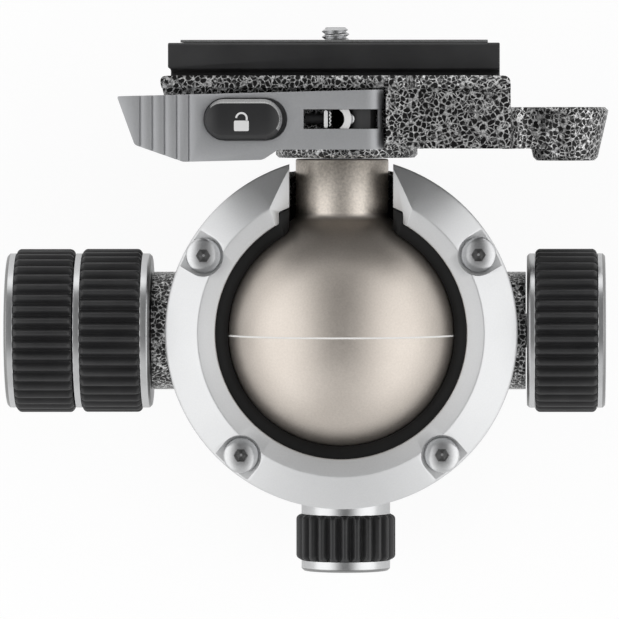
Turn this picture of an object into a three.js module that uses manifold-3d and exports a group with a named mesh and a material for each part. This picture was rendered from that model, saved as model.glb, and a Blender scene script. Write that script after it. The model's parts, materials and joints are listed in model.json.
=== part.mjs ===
import * as THREE from 'three';
import { mergeVertices } from 'three/addons/utils/BufferGeometryUtils.js';
import Module from 'manifold-3d';

// Ball head with a lever-release plate clamp, in millimetres.
// The origin is the centre of the base's underside, and +Z runs up the body.
// The platform is dropped a quarter turn into the notch, so its up direction is +Y.

const wasm = await Module();
wasm.setup();

// Clearances
const REST_GAP = 0.3; // between pieces that bear, slide or turn on each other
const PRESS_GAP = 0.1; // round a piece that is pressed in
const OVERRUN = 3; // how far a cutting shape passes the face that it opens

// Facets of a full turn, and steps of a curve
const FACETS_LARGE = 40;
const FACETS_MEDIUM = 22;
const FACETS_SMALL = 10;
const HEX = 6;
const CURVE_STEPS = 5;
const CAM_STEPS = 9;
const BALL_STEPS = 10;
const SOCKET_STEPS = 3;

// Ball and stem
const BALL_RADIUS = 28.5;
const BALL_FLAT_DEPTH = 1.9; // the flat turned on the ball's bottom
const BALL_MOUTH_RADIUS = 8;
const BALL_CAVITY_RADIUS = 16;
const BALL_CAVITY_TOP = 12;
const BALL_CAVITY_BOTTOM = -13;
const STEM_RADIUS = 10.8;
const STEM_EDGE = 0.5;
const STEM_FILLET = 1.2;
const STEM_BOLT_RADIUS = 5;
const STEM_BOLT_GRIP = 3.7; // how far it goes into the clamp body's block
const STEM_BOLT_HEAD_RADIUS = 7.6;
const STEM_BOLT_HEAD_HEIGHT = 7;
const STEM_BOLT_SOCKET_RADIUS = 3.5;
const STEM_BOLT_SOCKET_DEPTH = 4;
const DROP_ANGLE = Math.PI / 2;

// Ball seats
const BUSHING_WALL = 2.7;
const BUSHING_LIP = 12; // above the ball's centre
const BUSHING_EDGE = 0.9;
const SEAT_FOOT = 4.5; // from the seat's underside down to the ball's lowest point
const SEAT_SPRING_WIDTH = 4.5;
const SEAT_SPRING_INSET = 0.7;
const SEAT_SPRING_THICKNESS = 1.7;

// Base, panning stack and tripod thread
const BASE_THICKNESS = 7;
const BASE_CHAMFER = 0.8;
const TRIPOD_THREAD_RADIUS = 4.2; // 3/8 inch, 16 threads to the inch
const TRIPOD_THREAD_DEPTH = 12;
const THREAD_BUSH_SHARE = 0.306; // of the thrust washer's radius
const SCALE_RING_STEP = 0.4; // how far it stands proud of the base
const SCALE_RING_WALL = 6.4;
const SCALE_RING_HEIGHT = 4;
const THRUST_WASHER_CLEARANCE = 1; // round the spindle's flange
const PAN_GAP = 0.4;
const SPINDLE_FLANGE_SHARE = 0.646; // of the thrust washer's radius
const SPINDLE_RADIUS = 8;
const SPINDLE_GROOVE_DEPTH = 1.6;
const SPINDLE_GROOVE_HALF_HEIGHT = 2.4;
const SPINDLE_STUD_RADIUS = 5;
const SPINDLE_WASHER_RADIUS = 11;
const SPINDLE_WASHER_THICKNESS = 1.2;
const SPINDLE_NUT_RADIUS = 8.6;
const SPINDLE_NUT_THICKNESS = 3.1;
const SPINDLE_SHOULDER = 2.1; // above the groove, up to the nut well's floor
const BASE_SCREW_COUNT = 3;
const BASE_SCREW_RADIUS = 1.6;
const BASE_SCREW_HEAD_RADIUS = 3.2;
const BASE_SCREW_HEAD_HEIGHT = 2.2;
const BASE_SCREW_SOCKET_RADIUS = 1.3;
const BASE_SCREW_SOCKET_DEPTH = 1.4;

// Housing
const HOUSING_WALL = 7.7; // at the collar
const HOUSING_TAPER = 3.2; // how much narrower the foot is
const HOUSING_EDGE = 0.8;
const HOUSING_FLARE = 23.4; // from the collar down to the middle of the flare
const NUT_WELL_RADIUS = 12;
const NUT_WELL_DEPTH = 7.7;
const NOTCH_CLEARANCE = 1.25; // on each side of the stem

// Collar ring, measured up from the ball's centre
const COLLAR_OVERHANG = 1.7;
const COLLAR_BOTTOM = 7.4;
const COLLAR_RIM_HEIGHT = 2.6;
const COLLAR_CHAMFER = 0.9;
const COLLAR_CREST_WIDTH = 4.1; // from the opening out to the crest
const COLLAR_LIP_HEIGHT = 0.8;
const COLLAR_CREST_RISE = 1.3; // from the opening's edge up to the crest
const COLLAR_SCREW_INSET = 4.3;
const COLLAR_SCREW_ANGLES = [29.7, 150.6, 230.6, 309.6]; // degrees from +X
const COLLAR_POCKET_WALL = 0.3; // between a pocket and the bushing's bore
const COLLAR_POCKET_RISE = 0.6; // above the rim
const SCREW_HEAD_CLEARANCE = 0.75; // round a head in its pocket
const SCREW_HEAD_HEIGHT = 2.3;
const SCREW_RADIUS = 1.5;
const SCREW_LENGTH = 12;
const SCREW_SOCKET_RADIUS = 1.45;
const SCREW_SOCKET_DEPTH = 1.5;

// Large knobs, with lengths along their own axis
const NECK_RADIUS = 13.75;
const NECK_COLLAR_GAP = 0.65;
const KNOB_GRIP_RADIUS = 19.1;
const KNOB_RIM_STEP = 1.05; // from the grip's radius in to the rims'
const KNOB_HUB_STEP = 2.05; // from the rims' radius in to the hub's
const KNOB_EDGE = 0.6;
const KNOB_FLUTES = 41;
const FLUTE_DEPTH = 1;
const FLUTE_SHARE = 0.27; // of the pitch
const NECK_ROOT_DEPTH = 1.5; // how far the necks run on inside the socket's wall
const LEFT_NECK_LENGTH = 5.1; // from the housing's widest radius
const LEFT_FLANGE = 2.5;
const LEFT_INNER_GRIP = 14.05;
const LEFT_INNER_RIM = 1.5;
const LEFT_OUTER_GRIP = 13.85;
const LEFT_CAP = 2.2;
const RIGHT_NECK_LENGTH = 3.55;
const RIGHT_FLANGE = 2.15;
const RIGHT_GRIP = 14.45;
const RIGHT_CAP = 1.95;
const CAP_LIP_WIDTH = 3.05;
const CAP_RECESS_DEPTH = 0.8;
const SHOE_RADIUS = 8;
const SHOE_CLEARANCE = 1.6; // under the bushing
const SHOE_SEAT_CLEARANCE = 2; // above the lower seat
const SHOE_LENGTH = 12.6;
const SHOE_BACK_DEPTH = 1.1; // behind the socket's wall
const NECK_STEP_DEPTH = 3.8; // behind the shoe
const NECK_BUSH_RADIUS = 9.5;
const LOCK_SPINDLE_RADIUS = 4;
const FRICTION_SLEEVE_RADIUS = 6.5;
const FRICTION_WASHER_THICKNESS = 1.2;
const FRICTION_WASHER_PLAY = 0.2;
const FRICTION_WASHER_RADIUS = 7.6;
const SPINDLE_SOCKET_DEPTH = 9; // how deep a spindle sits in its knob

// Pan knob, with lengths along its own axis
const PAN_BOSS_CLEARANCE = 0.9; // from the housing's underside up to the boss
const PAN_BOSS_RADIUS = 9.2;
const PAN_BOSS_LENGTH = 1.7; // from the housing's widest radius
const PAN_FLANGE = 3.9;
const PAN_GRIP = 10.8;
const PAN_CAP = 2.7;
const PAN_GRIP_RADIUS = 11.8;
const PAN_RIM_STEP = 1.24;
const PAN_HUB_STEP = 1.56;
const PAN_FLUTES = 24;
const PAN_SHOE_RADIUS = 3.2;
const PAN_SHOE_LENGTH = 5.7; // behind its shoulder
const PAN_SHOE_TIP_RADIUS = 0.6;
const PAN_SHOE_TRAVEL = 2.3;
const PAN_SCREW_RADIUS = 3;
const PAN_BUSH_RADIUS = 5.5;
const PAN_CAP_LIP_WIDTH = 2.96;

// Clamp body, in the upright platform's frame from the ball's centre
const PLATFORM_GAP = 2; // between the collar ring and the clamp body
const CLAMP_HEIGHT = 16.7;
const CLAMP_LEFT = -41.5;
const CLAMP_RIGHT = 39.2;
const CLAMP_FRONT = -33;
const CLAMP_CORNER = 1.9;
const CLAMP_END_SLANT = 3.6;
const BAND_HEIGHT = 2.8;
const BAND_LEFT_SET_BACK = 8;
const BAND_RIGHT_SET_BACK = 2;
const BAND_SEAM_DROP = 3.8; // from the clamp's top down to the seam beside the bay
const BAND_SEAM_WIDTH = 0.8;
const BAND_SEAM_DEPTH = 0.5;
const BAND_CURVE_START = 14;
const BAND_CURVE_RUN = 4.5;
const BAY_RIGHT_GAP = 0.65; // from the lever's round end
const BOSS_RADIUS = 16.6;
const BOSS_HEIGHT = 2.35;
const BOSS_SHIFT = 1.1;
const BOSS_EDGE = 0.7;

// Dovetail shared by the plate and the two jaws
const DOVETAIL_HALF_WIDTH = 19;
const DOVETAIL_UNDERCUT = 2;
const DOVETAIL_DEPTH = 2.3; // below the jaws' top
const DOVETAIL_FOOT = 1;
const DOVETAIL_FLANK = 2;

// Plate, pad and camera screw
const PLATE_LEFT = -39.7;
const PLATE_RIGHT = 36.7;
const PLATE_FLARE = 0.8;
const PLATE_SIDE_HEIGHT = 6.05;
const PLATE_EDGE = 0.5;
const PLATE_END_CUT = 0.9;
const PLATE_END_CUT_HEIGHT = 1.2;
const PAD_INSET = 2.8;
const PAD_SIDE_INSET = 2.6;
const PAD_THICKNESS = 0.7;
const CAMERA_SCREW_RADIUS = 3.1; // 1/4 inch, 20 threads to the inch
const CAMERA_SCREW_REACH = 3; // above the pad
const CAMERA_SCREW_HEAD_RADIUS = 7;
const CAMERA_SCREW_HEAD_HEIGHT = 2.7;
const CAMERA_SCREW_SLOT_WIDTH = 1.6;
const CAMERA_SCREW_SLOT_DEPTH = 1.3;

// Level on its arm
const LEVEL_REACH = 12.8; // from the clamp's end to the level's axis
const LEVEL_Y = 4;
const LEVEL_TOP_RISE = 9.3; // above the clamp's bottom
const LEVEL_HEIGHT = 12.4;
const LEVEL_TOP_RADIUS = 10.1;
const LEVEL_TAPER = 2.5;
const LEVEL_EDGE = 0.8;
const LEVEL_ARM_DROP = 0.3; // below the clamp's bottom
const LEVEL_ARM_HALF_WIDTH = 7.4;
const LEVEL_ARM_ROOT_FLARE = 5.6;
const LEVEL_CUP_RADIUS = 6.6;
const LEVEL_CUP_WALL = 0.9;
const LEVEL_CUP_DEPTH = 6.2;
const LEVEL_CUP_FLOOR = 1.2;
const LEVEL_DOME_HEIGHT = 0.8;

// Lever, its barrel and its cam
const PIVOT_X = 5.2;
const LEVER_LENGTH = 56; // from the pivot to the tip
const LEVER_THICKNESS = 7.8;
const LEVER_TIP_SET_BACK = 1;
const LEVER_TIP_CURVE = 6;
const LEVER_SLANT_RUN = 4.1;
const LEVER_LOBE_START = 15.2; // from the tip
const LEVER_LOBE_LENGTH = 18.1;
const LEVER_LOBE_RUN = 3.5;
const LEVER_OVERHANG = 0.2; // below the clamp's bottom
const LEVER_TOP_GAP = 0.4; // under the band
const LEVER_TOP_SLOPE = 1.5; // how much lower the tip's top is
const LEVER_SLANT_RISE = 1.1;
const LEVER_LOBE_DROP = 2.8;
const LEVER_LOBE_SLOPE = 0.45;
const LEVER_CORNER = 0.6;
const LEVER_MIDDLE_RISE = 0.1; // of the rod, the window and the button, above half height
const CAM_SMALL_RADIUS = 4.9;
const CAM_RISE = 2; // over a quarter turn
const BARREL_RADIUS = 3.3;
const BARREL_BOTTOM_INSET = 0.9;
const BARREL_TOP_INSET = 0.4;
const GROOVE_COUNT = 5;
const GROOVE_PITCH = 2.78;
const GROOVE_START = 5.65; // from the tip
const GROOVE_WIDTH = 0.9;
const GROOVE_DEPTH = 0.5;
const WINDOW_LENGTH = 16.8;
const WINDOW_SHIFT = 4.9; // from the pivot to the window's middle
const WINDOW_HEIGHT = 4.5;
const BUTTON_SHIFT = 27.3; // from the pivot
const BUTTON_LENGTH = 17.1;
const BUTTON_WIDTH = 9.2;
const BUTTON_TOP_INSET = 1.1;
const BUTTON_RAISED = 2.2;
const BUTTON_TRAVEL = 1.5;
const BUTTON_DEPTH = 2.2; // how far its skirt reaches into the lever
const BUTTON_PLAY = 1.5; // along the pocket, towards the pivot
const BUTTON_SPRING_RADIUS = 2.6;
const BUTTON_SPRING_WALL = 0.7;
const BUTTON_SPRING_LENGTH = 1.6;
const LATCH_START = 4.4; // from the window's end to the flange
const LATCH_RADIUS = 2;
const LATCH_NECK_RADIUS = 1.3;
const LATCH_FLANGE = 1;
const LATCH_NECK = 1.2;

// Rear jaw, rod, guide pins and springs
const JAW_BOTTOM_RISE = 1.7;
const JAW_THICKNESS = 8.5;
const JAW_EDGE = 1.4;
const ROD_RADIUS = 2;
const ROD_NOSE = 1.3; // past the barrel's axis
const ROD_NUT_RADIUS = 3.8;
const ROD_NUT_THICKNESS = 2.6;
const NUT_RECESS_RADIUS = 4.3;
const NUT_RECESS_DEPTH = 3.2;
const GUIDE_PIN_RADIUS = 2;
const GUIDE_PIN_INSET_LEFT = 11.5; // from the clamp's end
const GUIDE_PIN_INSET_RIGHT = 9.2;
const GUIDE_PIN_DEPTH = 13; // into the clamp body
const GUIDE_PIN_COVER = 3; // of the jaw behind the pin
const JAW_SPRING_RADIUS = 3.4;
const JAW_SPRING_LENGTH = 6;
const JAW_SPRING_WALL = 0.8;

// Radii that follow, from the ball outward
const BUSHING_RADIUS = BALL_RADIUS + BUSHING_WALL;
const POCKET_RADIUS = BUSHING_RADIUS + REST_GAP;
const HOUSING_TOP_RADIUS = POCKET_RADIUS + HOUSING_WALL;
const HOUSING_FOOT_RADIUS = HOUSING_TOP_RADIUS - HOUSING_TAPER;
const BASE_RADIUS = HOUSING_FOOT_RADIUS;
const SCALE_RING_RADIUS = BASE_RADIUS + SCALE_RING_STEP;
const SCALE_RING_BORE = SCALE_RING_RADIUS - SCALE_RING_WALL;
const THRUST_WASHER_RADIUS = SCALE_RING_BORE - 2 * REST_GAP;
const SPINDLE_FLANGE_RADIUS = THRUST_WASHER_RADIUS * SPINDLE_FLANGE_SHARE;
const THRUST_WASHER_BORE = SPINDLE_FLANGE_RADIUS + THRUST_WASHER_CLEARANCE;
const THREAD_BUSH_RADIUS = THRUST_WASHER_RADIUS * THREAD_BUSH_SHARE;
const BASE_SCREW_INNER = THREAD_BUSH_RADIUS + BASE_SCREW_HEAD_RADIUS;
const BASE_SCREW_OUTER = SPINDLE_FLANGE_RADIUS - BASE_SCREW_RADIUS;
const BASE_SCREW_CIRCLE = (BASE_SCREW_INNER + BASE_SCREW_OUTER) / 2;
const COLLAR_RADIUS = HOUSING_TOP_RADIUS + COLLAR_OVERHANG;
const COLLAR_SCREW_CIRCLE = COLLAR_RADIUS - COLLAR_SCREW_INSET;
const COLLAR_POCKET_RADIUS = COLLAR_SCREW_CIRCLE - POCKET_RADIUS - COLLAR_POCKET_WALL;
const SCREW_HEAD_RADIUS = COLLAR_POCKET_RADIUS - SCREW_HEAD_CLEARANCE;
const COLLAR_OPENING_RADIUS = BALL_RADIUS + 2 * REST_GAP;
const COLLAR_CREST_RADIUS = COLLAR_OPENING_RADIUS + COLLAR_CREST_WIDTH;
const NOTCH_HALF_WIDTH = STEM_RADIUS + NOTCH_CLEARANCE;
const KNOB_RIM_RADIUS = KNOB_GRIP_RADIUS - KNOB_RIM_STEP;
const KNOB_HUB_RADIUS = KNOB_RIM_RADIUS - KNOB_HUB_STEP;
const CAP_RECESS_RADIUS = KNOB_RIM_RADIUS - CAP_LIP_WIDTH;
const PAN_RIM_RADIUS = PAN_GRIP_RADIUS - PAN_RIM_STEP;
const PAN_HUB_RADIUS = PAN_RIM_RADIUS - PAN_HUB_STEP;
const PAN_CAP_RECESS_RADIUS = PAN_RIM_RADIUS - PAN_CAP_LIP_WIDTH;
const BALL_CLEAR_RADIUS = BALL_RADIUS + REST_GAP;
const SEAT_SPRING_RADIUS = BUSHING_RADIUS - SEAT_SPRING_INSET;
const SEAT_SPRING_BORE = SEAT_SPRING_RADIUS - SEAT_SPRING_WIDTH;

// Heights that follow, from the base up
const SCALE_RING_TOP = BASE_THICKNESS + SCALE_RING_HEIGHT;
const HOUSING_BOTTOM = SCALE_RING_TOP + PAN_GAP;
const PAN_AXIS_HEIGHT = HOUSING_BOTTOM + PAN_BOSS_CLEARANCE + PAN_BOSS_RADIUS;
const NUT_WELL_FLOOR = PAN_AXIS_HEIGHT + SPINDLE_GROOVE_HALF_HEIGHT + SPINDLE_SHOULDER;
const SPINDLE_WASHER_TOP = NUT_WELL_FLOOR + REST_GAP + SPINDLE_WASHER_THICKNESS;
const SPINDLE_STUD_TOP = SPINDLE_WASHER_TOP + SPINDLE_NUT_THICKNESS;
const POCKET_FLOOR = NUT_WELL_FLOOR + NUT_WELL_DEPTH;
const KNOB_DROP = NECK_RADIUS + NECK_COLLAR_GAP - COLLAR_BOTTOM;
const SEAT_BOTTOM = SEAT_FOOT - BALL_RADIUS;
const SEAT_TOP = -KNOB_DROP - SHOE_RADIUS - SHOE_SEAT_CLEARANCE;
const BALL_HEIGHT = POCKET_FLOOR + SEAT_SPRING_THICKNESS + 2 * REST_GAP - SEAT_BOTTOM;
const BALL_FLAT = BALL_RADIUS - BALL_FLAT_DEPTH;
const HOUSING_TOP = BALL_HEIGHT + COLLAR_BOTTOM;
const HOUSING_FLARE_HEIGHT = HOUSING_TOP - HOUSING_FLARE;
const KNOB_AXIS_HEIGHT = BALL_HEIGHT - KNOB_DROP;
const BUSHING_TOP = BUSHING_LIP + BUSHING_EDGE;
const BUSHING_BOTTOM = SHOE_RADIUS - KNOB_DROP + SHOE_CLEARANCE;
const COLLAR_RIM_TOP = COLLAR_BOTTOM + COLLAR_RIM_HEIGHT;
const COLLAR_POCKET_FLOOR = COLLAR_RIM_TOP + COLLAR_POCKET_RISE;
const COLLAR_LEDGE = BUSHING_TOP + REST_GAP;
const COLLAR_OPENING_TOP = COLLAR_LEDGE + COLLAR_LIP_HEIGHT;
const COLLAR_CREST = COLLAR_OPENING_TOP + COLLAR_CREST_RISE;

// Distances that follow, outward along the knobs' axes
const NECK_ROOT = POCKET_RADIUS - NECK_ROOT_DEPTH;
const SHOE_BACK = POCKET_RADIUS + SHOE_BACK_DEPTH;
const SHOE_FRONT = SHOE_BACK - SHOE_LENGTH;
const NECK_STEP = SHOE_BACK + NECK_STEP_DEPTH;
const FRICTION_WASHER_OUTER = NECK_STEP - FRICTION_WASHER_PLAY;
const FRICTION_WASHER_INNER = FRICTION_WASHER_OUTER - FRICTION_WASHER_THICKNESS;
const LEFT_NECK_END = HOUSING_TOP_RADIUS + LEFT_NECK_LENGTH;
const LEFT_FLANGE_END = LEFT_NECK_END + LEFT_FLANGE;
const LEFT_INNER_GRIP_END = LEFT_FLANGE_END + LEFT_INNER_GRIP;
const LEFT_INNER_RIM_END = LEFT_INNER_GRIP_END + LEFT_INNER_RIM;
const LEFT_OUTER_GRIP_END = LEFT_INNER_RIM_END + LEFT_OUTER_GRIP;
const LEFT_END = LEFT_OUTER_GRIP_END + LEFT_CAP;
const RIGHT_NECK_END = HOUSING_TOP_RADIUS + RIGHT_NECK_LENGTH;
const RIGHT_FLANGE_END = RIGHT_NECK_END + RIGHT_FLANGE;
const RIGHT_GRIP_END = RIGHT_FLANGE_END + RIGHT_GRIP;
const RIGHT_END = RIGHT_GRIP_END + RIGHT_CAP;
const PAN_BOSS_END = HOUSING_TOP_RADIUS + PAN_BOSS_LENGTH;
const PAN_FLANGE_END = PAN_BOSS_END + PAN_FLANGE;
const PAN_GRIP_END = PAN_FLANGE_END + PAN_GRIP;
const PAN_END = PAN_GRIP_END + PAN_CAP;
const PAN_SHOE_BACK = SPINDLE_RADIUS + REST_GAP + PAN_SHOE_LENGTH;
const PAN_BUSH_INNER = PAN_SHOE_BACK + PAN_SHOE_TRAVEL;

// Platform heights that follow, from the clamp's bottom up
const CLAMP_BOTTOM = COLLAR_RADIUS + PLATFORM_GAP;
const BOSS_BOTTOM = CLAMP_BOTTOM - BOSS_HEIGHT;
const STEM_TOP = BOSS_BOTTOM - REST_GAP;
const STEM_BOLT_TOP = CLAMP_BOTTOM + STEM_BOLT_GRIP;
const CLAMP_TOP = CLAMP_BOTTOM + CLAMP_HEIGHT;
const BAND_BOTTOM = CLAMP_TOP - BAND_HEIGHT;
const BAND_SEAM = CLAMP_TOP - BAND_SEAM_DROP;
const DOVETAIL_BOTTOM = CLAMP_TOP - DOVETAIL_DEPTH;
const DOVETAIL_SHOULDER = DOVETAIL_BOTTOM + DOVETAIL_FOOT;
const DOVETAIL_NECK = DOVETAIL_SHOULDER + DOVETAIL_FLANK;
const PLATE_SIDE_BOTTOM = DOVETAIL_NECK + PLATE_FLARE;
const PLATE_TOP = PLATE_SIDE_BOTTOM + PLATE_SIDE_HEIGHT;
const PAD_TOP = PLATE_TOP + PAD_THICKNESS;
const CAMERA_SCREW_TOP = PAD_TOP + CAMERA_SCREW_REACH;
const CAMERA_SCREW_HEAD_BOTTOM = DOVETAIL_BOTTOM + REST_GAP;
const CAMERA_SCREW_HEAD_TOP = CAMERA_SCREW_HEAD_BOTTOM + CAMERA_SCREW_HEAD_HEIGHT;
const DECK_TOP = DOVETAIL_BOTTOM - REST_GAP;
const LEVEL_TOP = CLAMP_BOTTOM + LEVEL_TOP_RISE;
const LEVEL_BOTTOM = LEVEL_TOP - LEVEL_HEIGHT;
const LEVEL_ARM_BOTTOM = CLAMP_BOTTOM - LEVEL_ARM_DROP;
const LEVER_BOTTOM = CLAMP_BOTTOM - LEVER_OVERHANG;
const LEVER_TOP_RIGHT = BAND_BOTTOM - LEVER_TOP_GAP;
const LEVER_TOP_LEFT = LEVER_TOP_RIGHT - LEVER_TOP_SLOPE;
const LEVER_SLANT_BOTTOM = LEVER_BOTTOM + LEVER_SLANT_RISE;
const LEVER_LOBE_BOTTOM_LEFT = LEVER_BOTTOM - LEVER_LOBE_DROP;
const LEVER_LOBE_BOTTOM_RIGHT = LEVER_LOBE_BOTTOM_LEFT + LEVER_LOBE_SLOPE;
const LEVER_MIDDLE = (LEVER_BOTTOM + LEVER_TOP_RIGHT) / 2 + LEVER_MIDDLE_RISE;
const BARREL_BOTTOM = LEVER_BOTTOM + BARREL_BOTTOM_INSET;
const BARREL_TOP = LEVER_TOP_RIGHT - BARREL_TOP_INSET;
const JAW_BOTTOM = CLAMP_BOTTOM + JAW_BOTTOM_RISE;

// Platform places that follow, along its length and from front to rear
const DOVETAIL_NECK_HALF_WIDTH = DOVETAIL_HALF_WIDTH - DOVETAIL_UNDERCUT;
const CLAMP_REAR = DOVETAIL_HALF_WIDTH;
const BAND_LEFT_FRONT = CLAMP_FRONT + BAND_LEFT_SET_BACK;
const BAND_RIGHT_FRONT = CLAMP_FRONT + BAND_RIGHT_SET_BACK;
const BAND_CURVE_END = BAND_CURVE_START + BAND_CURVE_RUN;
const BAY_RIGHT = PIVOT_X + CAM_SMALL_RADIUS + BAY_RIGHT_GAP;
const LEVER_FRONT = CLAMP_FRONT;
const LEVER_REAR = LEVER_FRONT + LEVER_THICKNESS;
const PIVOT_Y = LEVER_FRONT + CAM_SMALL_RADIUS;
const BAY_REAR = PIVOT_Y + CAM_SMALL_RADIUS + CAM_RISE + REST_GAP;
const LEVER_TIP = PIVOT_X - LEVER_LENGTH;
const LEVER_SLANT_X = LEVER_TIP + LEVER_SLANT_RUN;
const LEVER_LOBE_LEFT = LEVER_TIP + LEVER_LOBE_START;
const LEVER_LOBE_RIGHT = LEVER_LOBE_LEFT + LEVER_LOBE_LENGTH;
const LEVER_LOBE_END = LEVER_LOBE_RIGHT + LEVER_LOBE_RUN;
const GROOVE_FIRST_X = LEVER_TIP + GROOVE_START;
const WINDOW_LEFT = PIVOT_X - WINDOW_SHIFT - WINDOW_LENGTH / 2;
const WINDOW_RIGHT = WINDOW_LEFT + WINDOW_LENGTH;
const BUTTON_X = PIVOT_X - BUTTON_SHIFT;
const LATCH_LEFT = WINDOW_LEFT + LATCH_START;
const ROD_FRONT = PIVOT_Y - ROD_NOSE;
const JAW_REAR = CLAMP_REAR + JAW_THICKNESS;
const GUIDE_PIN_FRONT = CLAMP_REAR - GUIDE_PIN_DEPTH;
const GUIDE_PIN_REAR = JAW_REAR - GUIDE_PIN_COVER;
const GUIDE_PIN_PLACES = [CLAMP_LEFT + GUIDE_PIN_INSET_LEFT, CLAMP_RIGHT - GUIDE_PIN_INSET_RIGHT];
const PLATE_MIDDLE = (PLATE_LEFT + PLATE_RIGHT) / 2;
const PAD_HALF_WIDTH = DOVETAIL_HALF_WIDTH - PAD_SIDE_INSET;
const LEVEL_X = CLAMP_RIGHT + LEVEL_REACH;
const LEVEL_BOTTOM_RADIUS = LEVEL_TOP_RADIUS - LEVEL_TAPER;
const LEVEL_ARM_ROOT_HALF_WIDTH = LEVEL_ARM_HALF_WIDTH + LEVEL_ARM_ROOT_FLARE;

// Materials
const paint = (color, roughness, metalness) =>
  new THREE.MeshStandardMaterial({ color, roughness, metalness });
const mottled = () => paint(0x56585a, 0.45, 0.3);
const satinSilver = () => paint(0xd4d5d6, 0.3, 0.9);
const champagne = () => paint(0xb5a896, 0.3, 0.9);
const greySatin = () => paint(0x97989a, 0.4, 0.8);
const blackRubber = () => paint(0x2b2b2c, 0.8, 0);
const blackAnodised = () => paint(0x2c2c2d, 0.5, 0.5);
const blackPlastic = () => paint(0x1e1e1f, 0.5, 0);
const steel = () => paint(0xb4b6b8, 0.3, 1);
const bronze = () => paint(0xa98a52, 0.4, 0.9);
const vialGreen = () => paint(0xbfd64a, 0.1, 0);

// Turning a geometry into a solid and back
function weld(geometry) {
  geometry.deleteAttribute('normal');
  geometry.deleteAttribute('uv');
  const welded = mergeVertices(geometry);
  const places = welded.attributes.position;
  const corner = [new THREE.Vector3(), new THREE.Vector3(), new THREE.Vector3()];
  const kept = [];
  let volume = 0;
  for (let i = 0; i < welded.index.count; i += corner.length) {
    const face = corner.map((_, k) => welded.index.getX(i + k));
    if (new Set(face).size < corner.length) {
      continue;
    }
    kept.push(face);
    face.forEach((vertex, k) => corner[k].fromBufferAttribute(places, vertex));
    volume += corner[0].dot(corner[1].cross(corner[2]));
  }
  const faces = volume < 0 ? kept.map((face) => face.reverse()) : kept;
  welded.setIndex(faces.flat());
  return welded;
}

function solidOf(geometry) {
  const welded = weld(geometry.clone());
  return new wasm.Manifold(
    new wasm.Mesh({
      numProp: 3,
      vertProperties: new Float32Array(welded.attributes.position.array),
      triVerts: new Uint32Array(welded.index.array),
    }),
  );
}

function geometryOf(solid) {
  const mesh = solid.getMesh();
  const geometry = new THREE.BufferGeometry();
  geometry.setAttribute('position', new THREE.BufferAttribute(mesh.vertProperties, mesh.numProp));
  geometry.setIndex(new THREE.BufferAttribute(mesh.triVerts, 1));
  return geometry;
}

const combine = (how) => (first, ...others) => {
  const start = solidOf(first);
  const result = others.reduce((whole, other) => whole[how](solidOf(other)), start);
  return geometryOf(result);
};
const join = combine('add');
const cut = combine('subtract');
const common = combine('intersect');

// Profiles turned about Z, given as pairs of radius and height
function turned(profile, facets) {
  const points = profile.map(([radius, height]) => new THREE.Vector2(radius, height));
  const geometry = new THREE.LatheGeometry(points, facets);
  return geometry.rotateX(Math.PI / 2);
}

function ring(inner, outer, low, high, facets) {
  return turned([[inner, low], [outer, low], [outer, high], [inner, high], [inner, low]], facets);
}

function rod(radius, low, high, facets) {
  return turned([[0, low], [radius, low], [radius, high], [0, high]], facets);
}

function arcPoints(radius, fromAngle, toAngle, steps) {
  return Array.from({ length: steps + 1 }, (_, i) => {
    const angle = fromAngle + ((toAngle - fromAngle) * i) / steps;
    return [radius * Math.cos(angle), radius * Math.sin(angle)];
  });
}

// Outlines drawn in a plane, then given depth
function outline(points) {
  return new THREE.Shape(points.map(([x, y]) => new THREE.Vector2(x, y)));
}

function box(left, right, low, high) {
  return outline([[left, low], [right, low], [right, high], [left, high]]);
}

function slabZ(shape, low, high) {
  const settings = { depth: high - low, bevelEnabled: false, curveSegments: CURVE_STEPS };
  return new THREE.ExtrudeGeometry(shape, settings).translate(0, 0, low);
}

function slabY(shape, low, high) {
  return slabZ(shape, -high, -low).rotateX(Math.PI / 2);
}

function slabX(shape, low, high) {
  return slabZ(shape, low, high).rotateY(Math.PI / 2).rotateX(Math.PI / 2);
}

function roundAt(radius, x, y, low, high, facets) {
  return rod(radius, low, high, facets).translate(x, y, 0);
}

function rodY(radius, x, z, low, high, facets) {
  return rod(radius, -high, -low, facets).rotateX(Math.PI / 2).translate(x, 0, z);
}

function rodX(radius, y, z, low, high, facets) {
  return rod(radius, low, high, facets).rotateY(Math.PI / 2).translate(0, y, z);
}

function hexPrism(radius, low, high) {
  return rod(radius, low, high, HEX);
}

// A corner of an outline, rounded by a curve through it
function roundedOutline(corners, radius) {
  const shape = new THREE.Shape();
  const at = (i) => new THREE.Vector2(...corners[(i + corners.length) % corners.length]);
  corners.forEach((_, i) => {
    const corner = at(i);
    const before = at(i - 1).sub(corner);
    const after = at(i + 1).sub(corner);
    const reach = Math.min(radius, before.length() / 2, after.length() / 2);
    const entry = corner.clone().add(before.setLength(reach));
    const exit = corner.clone().add(after.setLength(reach));
    if (i === 0) {
      shape.moveTo(entry.x, entry.y);
    } else {
      shape.lineTo(entry.x, entry.y);
    }
    shape.quadraticCurveTo(corner.x, corner.y, exit.x, exit.y);
  });
  shape.closePath();
  return shape;
}

function stadium(length, width, x, y) {
  const half = length / 2 - width / 2;
  const shape = new THREE.Shape();
  shape.absarc(x + half, y, width / 2, -Math.PI / 2, Math.PI / 2, false);
  shape.absarc(x - half, y, width / 2, Math.PI / 2, (3 * Math.PI) / 2, false);
  shape.closePath();
  return shape;
}

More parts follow.
